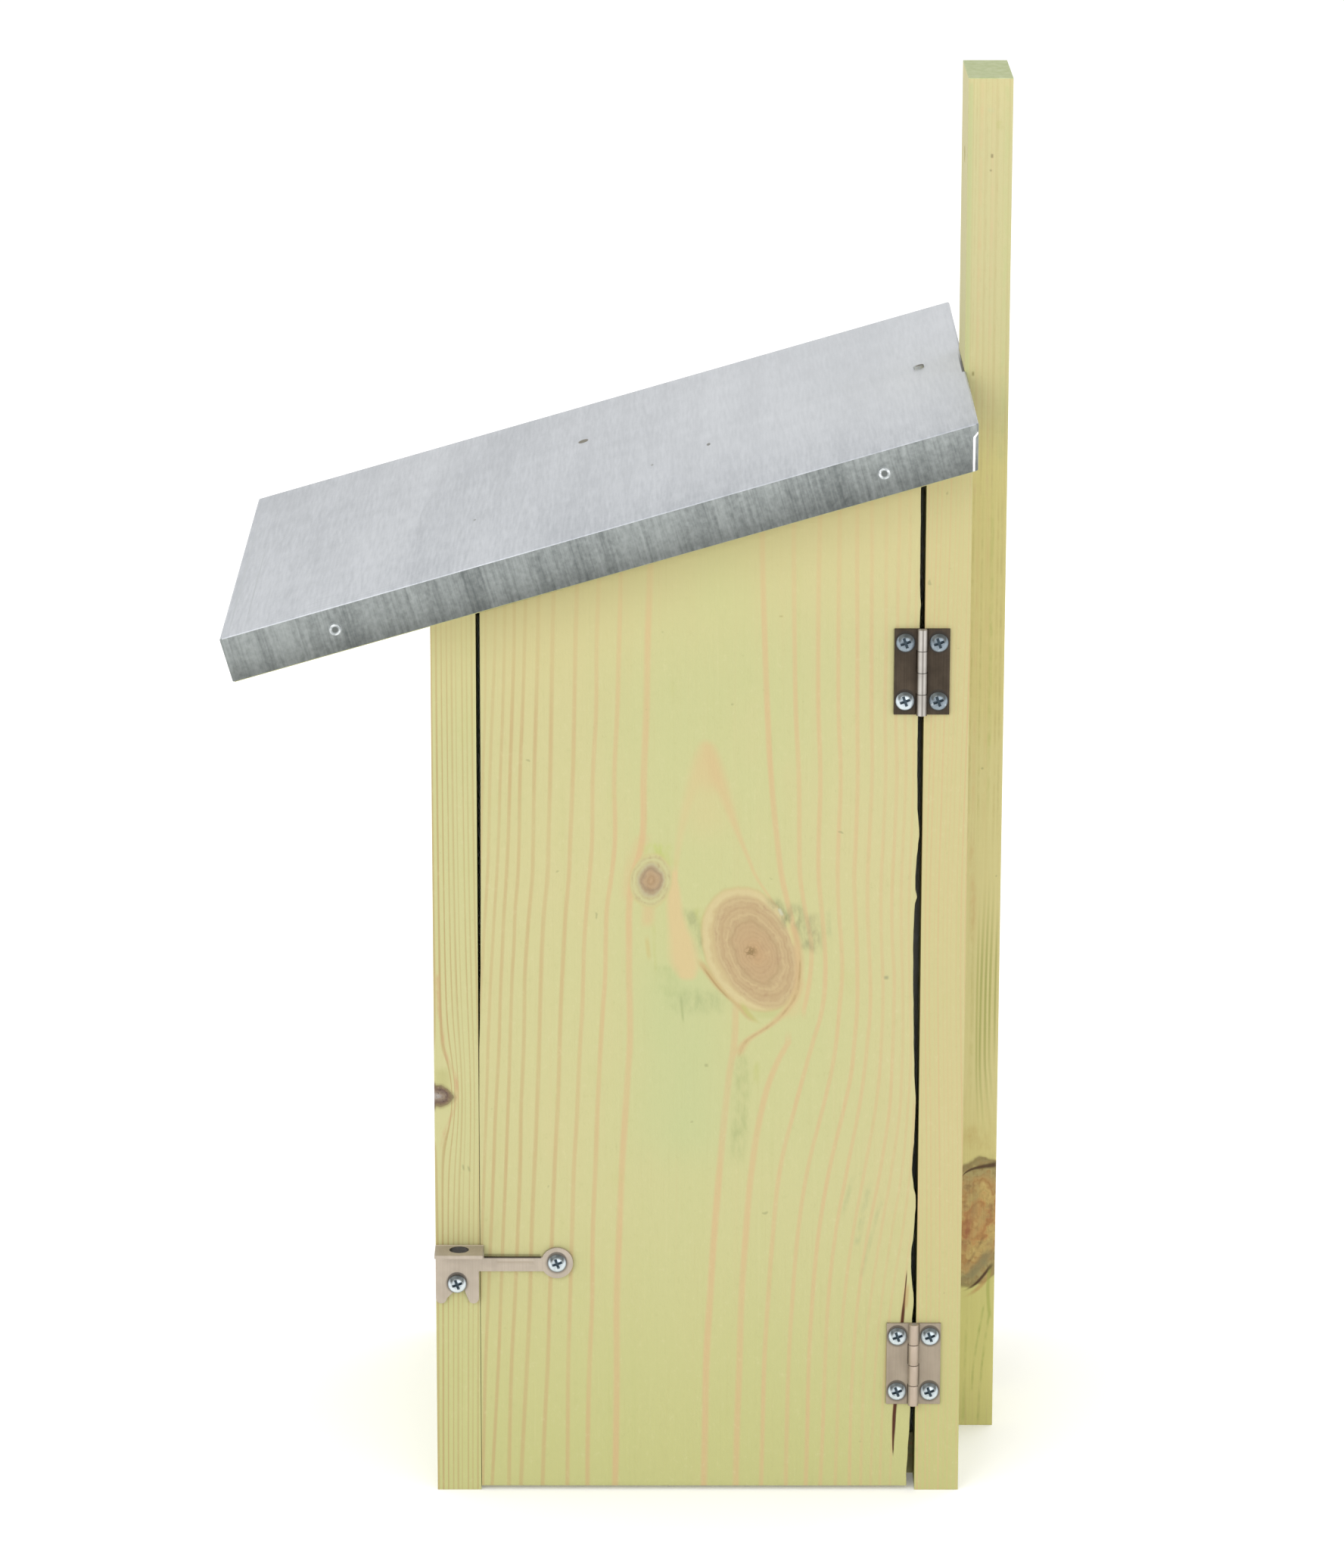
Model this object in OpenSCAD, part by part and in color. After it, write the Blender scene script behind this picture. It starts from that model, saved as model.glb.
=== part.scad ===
// Observation nest box: a lean-to timber bird box with a hinged side door and a clear sheet behind it.
// X runs across the box, with the door on the +X side. The entrance faces -Y and the wall batten is at +Y.
// The origin is the centre of the base. All sizes are in millimetres.

/* [Box] */
// Width of the box across its front board
box_w = 140; // [120:1:180]
// Depth from the front board's face to the rear board's back
box_d = 155; // [135:1:190]
// Height of the front board's face, up to the roof board's underside
front_h = 269.5; // [240:0.5:320]
// Slope of the roof, in degrees
roof_slope = 16.3; // [8:0.1:22]
// Thickness of the front, rear and side boards
board_t = 13; // [11:0.5:18]
// Thickness of the door
door_t = 13; // [11:0.5:15]
// Thickness of the floor board
floor_t = 13; // [9:0.5:18]

/* [Entrance and drainage] */
// Diameter of the entrance hole
entrance_d = 32; // [26:1:45]
// Height of the entrance hole's centre above the base
entrance_z = 205; // [170:1:210]
// Diameter of the drain holes in the floor
drain_d = 6; // [4:0.5:10]
// Distance of the drain holes from the middle of the floor, across the box
drain_x = 30; // [15:1:35]
// Distance of the drain holes from the middle of the floor, front to back
drain_y = 35; // [15:1:45]

/* [Roof] */
// Thickness of the roof board
roof_t = 13; // [9:0.5:15]
// How far the roof board reaches past each side of the box
side_overhang = 20; // [8:1:40]
// How far the roof board reaches past the front board's face, along the slope
front_overhang = 57.2; // [20:0.1:90]
// Thickness of the zinc cover
cover_t = 0.5; // [0.4:0.1:1]
// How much of the roof board shows under the cover's folded edges
edge_show = 0.3; // [0.1:0.1:3]
// Gap between the cover's notch and the batten
notch_gap = 0.8; // [0.5:0.1:3]

/* [Wall batten] */
// Width of the batten
batten_w = 34; // [24:1:50]
// Thickness of the batten
batten_t = 13; // [11:0.5:20]
// Height of the batten
batten_h = 415; // [385:1:480]
// Diameter of the hole for the screw that hangs the box
hang_d = 5; // [4:0.5:7]
// Distance from the top of the batten to that hole
hang_drop = 25; // [15:1:40]

/* [Door and clear sheet] */
// Gap between the door and the front board
door_gap_front = 1.1; // [1:0.1:2]
// Gap between the door and the rear board
door_gap_rear = 1.5; // [1:0.1:2.5]
// Gap under the door, above the base
door_gap_base = 1.2; // [0.5:0.1:3]
// Clearance over the door's rear corner as it swings under the sloping roof
swing_clear = 0.4; // [0.3:0.1:4]
// Thickness of the clear sheet
sheet_t = 2; // [1.5:0.5:4]
// Gap between the clear sheet and the door
sheet_gap = 2; // [1:0.5:6]
// Depth of the saw kerfs that hold the clear sheet
kerf_depth = 4; // [3:0.5:6]
// Clearance of the clear sheet in its kerfs, each side
kerf_fit = 0.3; // [0.1:0.1:0.6]

/* [Hinges] */
// Height of a hinge
hinge_h = 25.4; // [22:0.1:40]
// Width of an open hinge
hinge_w = 16; // [15.5:0.5:19]
// Thickness of a hinge leaf
leaf_t = 0.8; // [0.6:0.1:1]
// Diameter of a hinge pin
hinge_pin_d = 1.4; // [1:0.1:1.8]
// Height of the lower hinge's foot above the base
lower_hinge_z = 27.5; // [15:0.5:80]
// Distance of the upper hinge's head below the top of the front board's face
upper_hinge_drop = 5.1; // [0:0.1:90]

/* [Latch] */
// Distance from the box's front face to the latch's pivot
latch_pivot_y = 35.8; // [30:0.1:60]
// Height of the latch's pivot above the base
latch_pivot_z = 71.9; // [40:0.1:200]
// Distance from the box's front face to the keeper screw
keeper_y = 6.3; // [5.8:0.1:6.8]
// Drop of the keeper screw below the pivot
keeper_drop = 6.3; // [5:0.1:7]
// Thickness of the latch plate
latch_t = 1; // [0.8:0.1:1.2]
// Width of the latch's plate, over its two lobes
latch_plate_w = 12.7; // [12:0.1:14]
// Height of the latch's finger tab above the pivot
latch_rise = 5.7; // [4.5:0.1:8]
// Drop of the latch's lobes below the pivot
latch_drop = 12.6; // [11.5:0.1:15]
// Width of the latch's arm
latch_arm_w = 4.3; // [3:0.1:5]
// Diameter of the latch's ring
latch_ring_d = 9.4; // [8.5:0.1:11]
// How far the finger tab stands out from the door
latch_tab = 10.6; // [9:0.1:12]
// Width of the finger tab
latch_tab_w = 14.2; // [13:0.1:16]
// Diameter of the hole in the finger tab
latch_tab_hole_d = 5.5; // [3:0.1:6]

/* [Fasteners] */
// Head diameter of the small screws
screw_head_d = 5.4; // [4.6:0.1:5.6]
// Shank diameter of the small screws
screw_d = 2.6; // [2.2:0.1:3]
// Length of the small screws
screw_len = 10; // [7:0.5:11]
// Height of the dome of a small screw's head
screw_dome = 0.8; // [0.5:0.1:1]
// Head diameter of the batten's screws
batten_screw_head_d = 7; // [6:0.1:9]
// Shank diameter of the batten's screws
batten_screw_d = 3.5; // [3:0.1:4.5]
// Length of the batten's screws
batten_screw_len = 22; // [18:0.5:23]
// Diameter of the wire nails
nail_d = 1.6; // [1.2:0.1:2]
// Head diameter of the wire nails
nail_head_d = 3.2; // [2.6:0.1:4]
// Length of the nails through the boards
nail_len = 28; // [24:1:34]
// Length of the nails in the cover's folded edges
edge_nail_len = 14; // [10:1:18]

/* [Hidden] */

$fn = 48;
cut = 1;             // how far a cutting tool passes the face that it cuts
hole_fit = 0.1;      // clearance round a screw or nail, each side
pin_fit = 0.05;      // running clearance of a hinge pin, each side
part_gap = 0.3;      // gap between moving parts that lie side by side
floor_gap = 0.5;     // gap between the floor and the door
knuckles = 4;        // knuckles in a hinge
knuckle_gap = 0.2;   // gap between two knuckles
head_lift = 0.2;     // height of a small screw's rim above the metal that it holds
slot_w = 0.8;        // width of a screw's cross slots
slot_depth = 1;      // depth of a screw's cross slots
pan_rim = 0.5;       // height of the straight rim of the keeper's head
nail_head_t = 0.7;   // thickness of a nail's head
tip_len = 2;         // length of a nail's or screw's point
lobe_r = 1.6;        // radius of the latch's lobes
bend_r = 1.2;        // outer radius of the bend below the finger tab

front_y = -box_d / 2;              // the front board's outer face
front_in_y = front_y + board_t;    // the front board's inner face
rear_y = box_d / 2;                // the rear board's back
rear_in_y = rear_y - board_t;      // the rear board's inner face
side_x = box_w / 2;                // the face of the door and the edges of the boards
side_in_x = side_x - board_t;      // half the width between the side board and its mirror image
door_in_x = side_x - door_t;       // the door's inner face
roof_x = side_x + side_overhang;   // the roof board's side edge
sheet_x = door_in_x - sheet_gap;   // the clear sheet's face toward the door

barrel_r = hinge_pin_d / 2 + pin_fit + leaf_t;
pin_x = side_x + barrel_r;
pin_y = rear_in_y - door_gap_rear / 2;
upper_hinge_z = front_h - upper_hinge_drop - hinge_h;
knuckle_h = (hinge_h - (knuckles - 1) * knuckle_gap) / knuckles;
screw_out = hinge_w * 0.3;         // distance of a hinge's screws from its pin
screw_end = hinge_h * 0.16;        // distance of a hinge's screws from its ends
door_gap_top = (pin_x - door_in_x) * tan(roof_slope) + swing_clear;

latch_x = side_x + part_gap;       // the latch's back
keeper_r = norm([latch_pivot_y - keeper_y, keeper_drop]);
notch_w = screw_d + 2 * part_gap;  // width of the latch's notch

board_mid = board_t / 2;
front_nail_levels = [0.22, 0.52, 0.87] * front_h;
rear_nail_levels = [0.22, 0.59, 0.96] * front_h;
batten_screw_levels = [0.19, 0.93] * front_h;
roof_nail_x = side_x * 0.6;        // place of the roof's nails, from the middle
nail_lean = (nail_len - roof_t) * sin(roof_slope) / 2;
edge_nail_front = 32;              // place of the front edge nails, up the slope from the cover's front
edge_nail_rear = 25;               // place of the rear edge nails, down the slope from the cover's rear
top_nail_x = -5;                   // place of the nail in the top of the cover, from the middle

wood = [0.82, 0.82, 0.6];
old_wood = [0.75, 0.75, 0.5];
zinc = [0.76, 0.78, 0.8];
nickel = [0.68, 0.63, 0.56];
bright = [0.8, 0.84, 0.87];
clear = [0.8, 0.9, 0.95, 0.4];

// Height of the roof board's underside at y
function under_z(y) = front_h + (y - front_y) * tan(roof_slope);
// Height of a plane w above the roof board's underside, at y
function level_z(y, w) = under_z(y) + w / cos(roof_slope);
// The point v up the slope from the front board's face and w square to the roof board's underside
function roof_point(v, w) = [
    front_y + v * cos(roof_slope) - w * sin(roof_slope),
    front_h + v * sin(roof_slope) + w * cos(roof_slope)
];

// A prism with its outline drawn in Y and Z, from x0 to x1
module prism(x0, x1, outline) {
    translate([x0, 0, 0])
        rotate([90, 0, 90])
            linear_extrude(x1 - x0)
                polygon(outline);
}

// A box given by its two opposite corners
module block(from, to) {
    translate(from)
        cube(to - from);
}

// Turns what points along +Z to point along +X, -X, +Y or -Y
module toward_right() { rotate([0, 90, 0]) children(); }
module toward_left() { rotate([0, -90, 0]) children(); }
module toward_rear() { rotate([-90, 0, 0]) children(); }
module toward_front() { rotate([90, 0, 0]) children(); }

// Puts what is drawn at the origin on the roof, x from the middle, v up the slope and w above the underside
module on_roof(x, v, w) {
    translate([0, front_y, front_h])
        rotate([roof_slope, 0, 0])
            translate([x, v, w])
                children();
}

// A board that stands between y0 and y1, with its top cut to the roof's slope less a gap
module standing_board(x0, x1, y0, y1, z0, gap) {
    prism(x0, x1, [[y0, z0], [y1, z0], [y1, under_z(y1) - gap], [y0, under_z(y0) - gap]]);
}

// A low dome of diameter d and height h
module dome(d, h) {
    ball_r = (d * d / 4 + h * h) / (2 * h);
    intersection() {
        translate([0, 0, h - ball_r])
            sphere(r = ball_r, $fn = 96);
        cylinder(d = d, h = h + cut);
    }
}

// The cross slots in a screw's head, cut down from the height top
module cross_slots(d, top) {
    for (turn = [0, 90])
        rotate([0, 0, turn + 20])
            translate([-d * 0.29, -slot_w / 2, top - slot_depth])
                cube([d * 0.58, slot_w, slot_depth + cut]);
}

// The part of a countersunk screw that sits in its hole, with its rim at z = 0
module screw_body(head_d, shank_d, len, grow) {
    sink = (head_d - shank_d) / 2;
    translate([0, 0, -sink])
        cylinder(r1 = shank_d / 2 + grow, r2 = head_d / 2 + grow, h = sink);
    translate([0, 0, -len + tip_len])
        cylinder(r = shank_d / 2 + grow, h = len - tip_len);
    translate([0, 0, -len - grow])
        cylinder(r1 = grow + 0.1, r2 = shank_d / 2 + grow, h = tip_len + grow);
}

// A small screw with a raised countersunk head
module small_screw() {
    difference() {
        union() {
            screw_body(screw_head_d, screw_d, screw_len, 0);
            dome(screw_head_d, screw_dome);
        }
        cross_slots(screw_head_d, screw_dome);
    }
}

// The hole for a small screw
module small_screw_hole() {
    screw_body(screw_head_d, screw_d, screw_len, hole_fit);
    cylinder(d = screw_head_d + 2 * hole_fit, h = cut);
}

// A batten screw, with its flat head's face at z = 0
module batten_screw() {
    difference() {
        screw_body(batten_screw_head_d, batten_screw_d, batten_screw_len, 0);
        cross_slots(batten_screw_head_d, 0);
    }
}

// The hole for a batten screw
module batten_screw_hole() {
    screw_body(batten_screw_head_d, batten_screw_d, batten_screw_len, hole_fit);
    cylinder(d = batten_screw_head_d + 2 * hole_fit, h = cut);
}

// A nail with the top of its flat head at z = 0
module nail(len, grow) {
    translate([0, 0, -nail_head_t - grow])
        cylinder(d = nail_head_d + 2 * grow, h = nail_head_t + grow);
    translate([0, 0, -len + tip_len])
        cylinder(d = nail_d + 2 * grow, h = len - tip_len - nail_head_t);
    translate([0, 0, -len - grow])
        cylinder(r1 = grow + 0.1, r2 = nail_d / 2 + grow, h = tip_len + grow);
}

// The hole for such a nail
module nail_hole(len) {
    nail(len, hole_fit);
    cylinder(d = nail_head_d + 2 * hole_fit, h = cut);
}

// The places of the hinge screws: side is 1 on the rear board and -1 on the door
module at_hinge_screws(side) {
    for (foot = [lower_hinge_z, upper_hinge_z])
        for (up = [screw_end, hinge_h - screw_end])
            translate([side_x + leaf_t + head_lift, pin_y + side * screw_out, foot + up])
                toward_right() children();
}

// The places of the nails through the front board, into the side board and the floor
module at_front_nails() {
    for (z = front_nail_levels)
        translate([-side_x + board_mid, front_y, z]) toward_front() children();
    for (x = [-1, 1])
        translate([x * side_x * 0.5, front_y, floor_t / 2]) toward_front() children();
}

// The places of the nails through the rear board, into the side board and the floor
module at_rear_nails() {
    for (z = rear_nail_levels)
        translate([-side_x + board_mid, rear_y, z]) toward_rear() children();
    for (x = [-1, 1])
        translate([x * side_x * 0.5, rear_y, floor_t / 2]) toward_rear() children();
}

// The places of the nails through the side board, into the floor
module at_side_nails() {
    for (y = [-1, 1])
        translate([-side_x, y * box_d * 0.25, floor_t / 2]) toward_left() children();
}

// The places of the nails through the roof board, into the boards under it
module at_roof_nails() {
    for (x = [-1, 1]) {
        on_roof(x * roof_nail_x, (board_mid - nail_lean) / cos(roof_slope), roof_t) children();
        on_roof(x * roof_nail_x, (box_d - board_mid - nail_lean) / cos(roof_slope), roof_t) children();
    }
    on_roof(-side_x + board_mid, box_d / 2 / cos(roof_slope), roof_t) children();
}

// The places of the nails through the cover's folded side edges
module at_edge_nails() {
    edge_mid = (roof_t + cover_t + edge_show) / 2;
    rear_end = box_d / cos(roof_slope);
    for (v = [-front_overhang + edge_nail_front, rear_end - edge_nail_rear]) {
        on_roof(roof_x + cover_t, v, edge_mid) toward_right() children();
        on_roof(-roof_x - cover_t, v, edge_mid) toward_left() children();
    }
}

// The place of the nail through the top of the cover, over the rear board
module at_top_nail() {
    on_roof(top_nail_x, (box_d - board_mid - nail_lean) / cos(roof_slope), roof_t + cover_t) children();
}

// The places of the batten's screws
module at_batten_screws() {
    for (z = batten_screw_levels)
        translate([0, rear_y + batten_t - head_lift, z]) toward_rear() children();
}

// The place of the latch's pivot screw
module at_pivot() {
    translate([latch_x + latch_t + head_lift, front_y + latch_pivot_y, latch_pivot_z])
        toward_right() children();
}

// The place of the keeper screw, under its head
module at_keeper() {
    translate([latch_x + latch_t + part_gap, front_y + keeper_y, latch_pivot_z - keeper_drop])
        toward_right() children();
}

// The saw kerfs that hold the clear sheet
module kerfs() {
    block([sheet_x - sheet_t - kerf_fit, front_in_y - kerf_depth, floor_t],
        [sheet_x + kerf_fit, rear_in_y + kerf_depth, level_z(rear_y, roof_t)]);
}

module front_board() {
    color(wood)
    difference() {
        standing_board(-side_x, side_x, front_y, front_in_y, 0, 0);
        translate([0, front_y - cut, entrance_z])
            toward_rear() cylinder(d = entrance_d, h = board_t + 2 * cut);
        kerfs();
        at_front_nails() nail_hole(nail_len);
        at_roof_nails() nail_hole(nail_len);
        at_keeper() screw_body(screw_d, screw_d, screw_len, hole_fit);
    }
}

module rear_board() {
    color(wood)
    difference() {
        standing_board(-side_x, side_x, rear_in_y, rear_y, 0, 0);
        kerfs();
        at_rear_nails() nail_hole(nail_len);
        at_roof_nails() nail_hole(nail_len);
        at_top_nail() nail_hole(nail_len);
        at_hinge_screws(1) small_screw_hole();
        at_batten_screws() batten_screw_hole();
    }
}

module side_board() {
    color(old_wood)
    difference() {
        standing_board(-side_x, -side_in_x, front_in_y, rear_in_y, 0, 0);
        at_front_nails() nail_hole(nail_len);
        at_rear_nails() nail_hole(nail_len);
        at_side_nails() nail_hole(nail_len);
        at_roof_nails() nail_hole(nail_len);
    }
}

module floor_board() {
    color(old_wood)
    difference() {
        block([-side_in_x, front_in_y, 0], [door_in_x - floor_gap, rear_in_y, floor_t]);
        for (x = [-1, 1])
            for (y = [-1, 1])
                translate([x * drain_x, y * drain_y, -cut])
                    cylinder(d = drain_d, h = floor_t + 2 * cut);
        at_front_nails() nail_hole(nail_len);
        at_rear_nails() nail_hole(nail_len);
        at_side_nails() nail_hole(nail_len);
    }
}

module roof_board() {
    color(wood)
    difference() {
        prism(-roof_x, roof_x, [
            roof_point(-front_overhang, 0),
            [rear_y, under_z(rear_y)],
            [rear_y, level_z(rear_y, roof_t)],
            roof_point(-front_overhang, roof_t)
        ]);
        at_roof_nails() nail_hole(nail_len);
        at_top_nail() nail_hole(nail_len);
        at_edge_nails() nail_hole(edge_nail_len);
    }
}

module roof_cover() {
    outer_rear = rear_y + cover_t;
    color(zinc)
    difference() {
        prism(-roof_x - cover_t, roof_x + cover_t, [
            roof_point(-front_overhang - cover_t, edge_show),
            [outer_rear, level_z(outer_rear, edge_show)],
            [outer_rear, level_z(outer_rear, roof_t + cover_t)],
            roof_point(-front_overhang - cover_t, roof_t + cover_t)
        ]);
        prism(-roof_x, roof_x, [
            roof_point(-front_overhang, edge_show - cut),
            [rear_y, level_z(rear_y, edge_show - cut)],
            [rear_y, level_z(rear_y, roof_t)],
            roof_point(-front_overhang, roof_t)
        ]);
        block([-batten_w / 2 - notch_gap, rear_y, 0], [batten_w / 2 + notch_gap, rear_y + batten_t, batten_h]);
        at_top_nail() cylinder(d = nail_d + 2 * hole_fit, h = 4 * cover_t, center = true);
        at_edge_nails() cylinder(d = nail_d + 2 * hole_fit, h = 4 * cover_t, center = true);
    }
}

module wall_batten() {
    color(wood)
    difference() {
        block([-batten_w / 2, rear_y, 0], [batten_w / 2, rear_y + batten_t, batten_h]);
        translate([0, rear_y - cut, batten_h - hang_drop])
            toward_rear() cylinder(d = hang_d, h = batten_t + 2 * cut);
        at_batten_screws() batten_screw_hole();
    }
}

module clear_sheet() {
    color(clear)
    standing_board(sheet_x - sheet_t, sheet_x, front_in_y - kerf_depth + kerf_fit,
        rear_in_y + kerf_depth - kerf_fit, floor_t, kerf_fit);
}

module door() {
    color(wood)
    difference() {
        standing_board(door_in_x, side_x, front_in_y + door_gap_front, rear_in_y - door_gap_rear,
            door_gap_base, door_gap_top);
        at_hinge_screws(-1) small_screw_hole();
        at_pivot() small_screw_hole();
    }
}

// One leaf of a hinge with its foot at z = 0: side is 1 on the rear board and -1 on the door
module hinge_leaf(side) {
    first = side > 0 ? 0 : 1;
    step = knuckle_h + knuckle_gap;
    color(nickel)
    difference() {
        union() {
            difference() {
                translate([side_x, side > 0 ? pin_y : pin_y - hinge_w / 2, 0])
                    cube([leaf_t, hinge_w / 2, hinge_h]);
                for (k = [1 - first : 2 : knuckles - 1])
                    translate([pin_x, pin_y, k * step - knuckle_gap])
                        cylinder(r = barrel_r + part_gap, h = knuckle_h + 2 * knuckle_gap);
            }
            for (k = [first : 2 : knuckles - 1])
                translate([pin_x, pin_y, k * step])
                    cylinder(r = barrel_r, h = knuckle_h);
        }
        translate([pin_x, pin_y, -cut])
            cylinder(r = hinge_pin_d / 2 + pin_fit, h = hinge_h + 2 * cut);
    }
}

module hinge_pin() {
    color(bright)
    translate([pin_x, pin_y, 0])
        cylinder(d = hinge_pin_d, h = hinge_h);
}

module hinge_frame_leaf(foot) {
    color(nickel)
    difference() {
        translate([0, 0, foot]) hinge_leaf(1);
        at_hinge_screws(1) small_screw_hole();
    }
}

module hinge_door_leaf(foot) {
    color(nickel)
    difference() {
        translate([0, 0, foot]) hinge_leaf(-1);
        at_hinge_screws(-1) small_screw_hole();
    }
}

module lower_hinge_frame_leaf() { hinge_frame_leaf(lower_hinge_z); }
module upper_hinge_frame_leaf() { hinge_frame_leaf(upper_hinge_z); }
module lower_hinge_door_leaf() { hinge_door_leaf(lower_hinge_z); }
module upper_hinge_door_leaf() { hinge_door_leaf(upper_hinge_z); }
module lower_hinge_pin() { translate([0, 0, lower_hinge_z]) hinge_pin(); }
module upper_hinge_pin() { translate([0, 0, upper_hinge_z]) hinge_pin(); }
module hinge_frame_screws() { color(bright) at_hinge_screws(1) small_screw(); }
module hinge_door_screws() { color(bright) at_hinge_screws(-1) small_screw(); }

// The latch's flat parts, drawn about the pivot: x runs to the rear and y runs up
module latch_plate() {
    left = -latch_pivot_y;
    seat_x = keeper_y - latch_pivot_y;
    arm_y = -0.4;
    difference() {
        union() {
            translate([left, -latch_drop + lobe_r, 0])
                cube([latch_plate_w, latch_drop - lobe_r, latch_t]);
            translate([left, 0, 0])
                cube([latch_tab_w, latch_rise - bend_r, latch_t]);
            for (x = [left + lobe_r, left + latch_plate_w - lobe_r])
                translate([x, -latch_drop + lobe_r, 0])
                    cylinder(r = lobe_r, h = latch_t);
            translate([left + lobe_r, arm_y - latch_arm_w / 2, 0])
                cube([-left - lobe_r, latch_arm_w, latch_t]);
            cylinder(d = latch_ring_d, h = latch_t);
        }
        // The notch follows the keeper's path as the latch turns on its pivot
        intersection() {
            difference() {
                translate([0, 0, -cut])
                    cylinder(r = keeper_r + notch_w / 2, h = latch_t + 2 * cut, $fn = 96);
                translate([0, 0, -2 * cut])
                    cylinder(r = keeper_r - notch_w / 2, h = latch_t + 4 * cut, $fn = 96);
            }
            translate([left, -latch_drop - cut, -cut])
                cube([latch_plate_w, latch_drop + cut - keeper_drop, latch_t + 2 * cut]);
        }
        translate([seat_x, -keeper_drop, -cut])
            cylinder(d = notch_w, h = latch_t + 2 * cut);
        translate([left, -latch_drop + lobe_r, -cut])
            linear_extrude(latch_t + 2 * cut)
                polygon([
                    [2 * lobe_r, -lobe_r - cut], [2 * lobe_r, 0],
                    [latch_plate_w / 2, latch_plate_w / 2 - 2 * lobe_r],
                    [latch_plate_w - 2 * lobe_r, 0], [latch_plate_w - 2 * lobe_r, -lobe_r - cut]
                ]);
    }
}

module latch_hook() {
    tab_y = front_y + latch_tab_w / 2;
    bend_z = latch_pivot_z + latch_rise - bend_r;
    color(nickel)
    difference() {
        union() {
            translate([latch_x, front_y + latch_pivot_y, latch_pivot_z])
                rotate([90, 0, 90]) latch_plate();
            // The bend between the plate and the finger tab
            intersection() {
                translate([latch_x + bend_r, front_y, bend_z])
                    toward_rear()
                        difference() {
                            cylinder(r = bend_r, h = latch_tab_w);
                            translate([0, 0, -cut])
                                cylinder(r = bend_r - latch_t, h = latch_tab_w + 2 * cut);
                        }
                block([latch_x, front_y, bend_z], [latch_x + bend_r, front_y + latch_tab_w, bend_z + bend_r]);
            }
            block([latch_x + bend_r, front_y, bend_z + bend_r - latch_t],
                [latch_x + latch_tab, front_y + latch_tab_w, bend_z + bend_r]);
        }
        translate([latch_x + latch_tab / 2, tab_y, bend_z])
            cylinder(d = latch_tab_hole_d, h = bend_r + cut);
        at_pivot() small_screw_hole();
    }
}

module latch_pivot_screw() { color(bright) at_pivot() small_screw(); }

module latch_keeper_screw() {
    color(bright)
    at_keeper()
    difference() {
        union() {
            screw_body(screw_d, screw_d, screw_len, 0);
            cylinder(d = screw_head_d, h = pan_rim);
            translate([0, 0, pan_rim]) dome(screw_head_d, screw_dome);
        }
        cross_slots(screw_head_d, pan_rim + screw_dome);
    }
}

module batten_screws() { color(bright) at_batten_screws() batten_screw(); }
module front_nails() { color(bright) at_front_nails() nail(nail_len, 0); }
module rear_nails() { color(bright) at_rear_nails() nail(nail_len, 0); }
module side_nails() { color(bright) at_side_nails() nail(nail_len, 0); }
module roof_nails() { color(bright) at_roof_nails() nail(nail_len, 0); }

// A nail whose head stands on the cover
module cover_nail(len) {
    translate([0, 0, nail_head_t]) nail(len, 0);
}

module roof_edge_nails() { color(bright) at_edge_nails() cover_nail(edge_nail_len); }
module roof_top_nail() { color(bright) at_top_nail() cover_nail(nail_len); }

front_board();
rear_board();
side_board();
floor_board();
roof_board();
roof_cover();
wall_batten();
clear_sheet();
door();
lower_hinge_frame_leaf();
lower_hinge_door_leaf();
lower_hinge_pin();
upper_hinge_frame_leaf();
upper_hinge_door_leaf();
upper_hinge_pin();
hinge_frame_screws();
hinge_door_screws();
latch_hook();
latch_pivot_screw();
latch_keeper_screw();
batten_screws();
front_nails();
rear_nails();
side_nails();
roof_nails();
roof_edge_nails();
roof_top_nail();
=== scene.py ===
import math
import random
from dataclasses import dataclass, replace

import bmesh
import bpy
from mathutils import Matrix, Vector


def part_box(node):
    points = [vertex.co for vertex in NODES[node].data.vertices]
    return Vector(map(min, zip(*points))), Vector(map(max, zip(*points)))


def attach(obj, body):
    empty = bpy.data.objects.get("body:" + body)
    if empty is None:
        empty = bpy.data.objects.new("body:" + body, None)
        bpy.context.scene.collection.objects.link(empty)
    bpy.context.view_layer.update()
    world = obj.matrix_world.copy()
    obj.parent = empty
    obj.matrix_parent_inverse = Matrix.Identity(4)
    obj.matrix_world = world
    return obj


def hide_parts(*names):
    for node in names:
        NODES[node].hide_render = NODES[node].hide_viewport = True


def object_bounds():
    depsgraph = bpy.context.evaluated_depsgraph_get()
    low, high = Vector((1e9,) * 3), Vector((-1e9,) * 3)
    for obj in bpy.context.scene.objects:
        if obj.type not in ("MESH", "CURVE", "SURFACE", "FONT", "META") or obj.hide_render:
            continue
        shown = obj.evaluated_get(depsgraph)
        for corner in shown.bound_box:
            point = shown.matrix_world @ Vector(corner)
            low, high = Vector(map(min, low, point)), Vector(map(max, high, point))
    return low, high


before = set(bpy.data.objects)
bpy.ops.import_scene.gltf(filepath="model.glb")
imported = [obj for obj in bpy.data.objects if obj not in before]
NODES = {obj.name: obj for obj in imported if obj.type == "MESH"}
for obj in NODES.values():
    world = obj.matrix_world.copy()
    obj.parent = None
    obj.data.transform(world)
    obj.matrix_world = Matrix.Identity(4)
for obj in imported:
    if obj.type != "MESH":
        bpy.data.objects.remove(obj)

cad_low, cad_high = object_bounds()
MM = 0.001


# Driving places, read from the frame

def low(node, axis):
    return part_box(node)[0]["xyz".index(axis)]


def high(node, axis):
    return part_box(node)[1]["xyz".index(axis)]


def mid(node, axis):
    return (low(node, axis) + high(node, axis)) / 2


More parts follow.
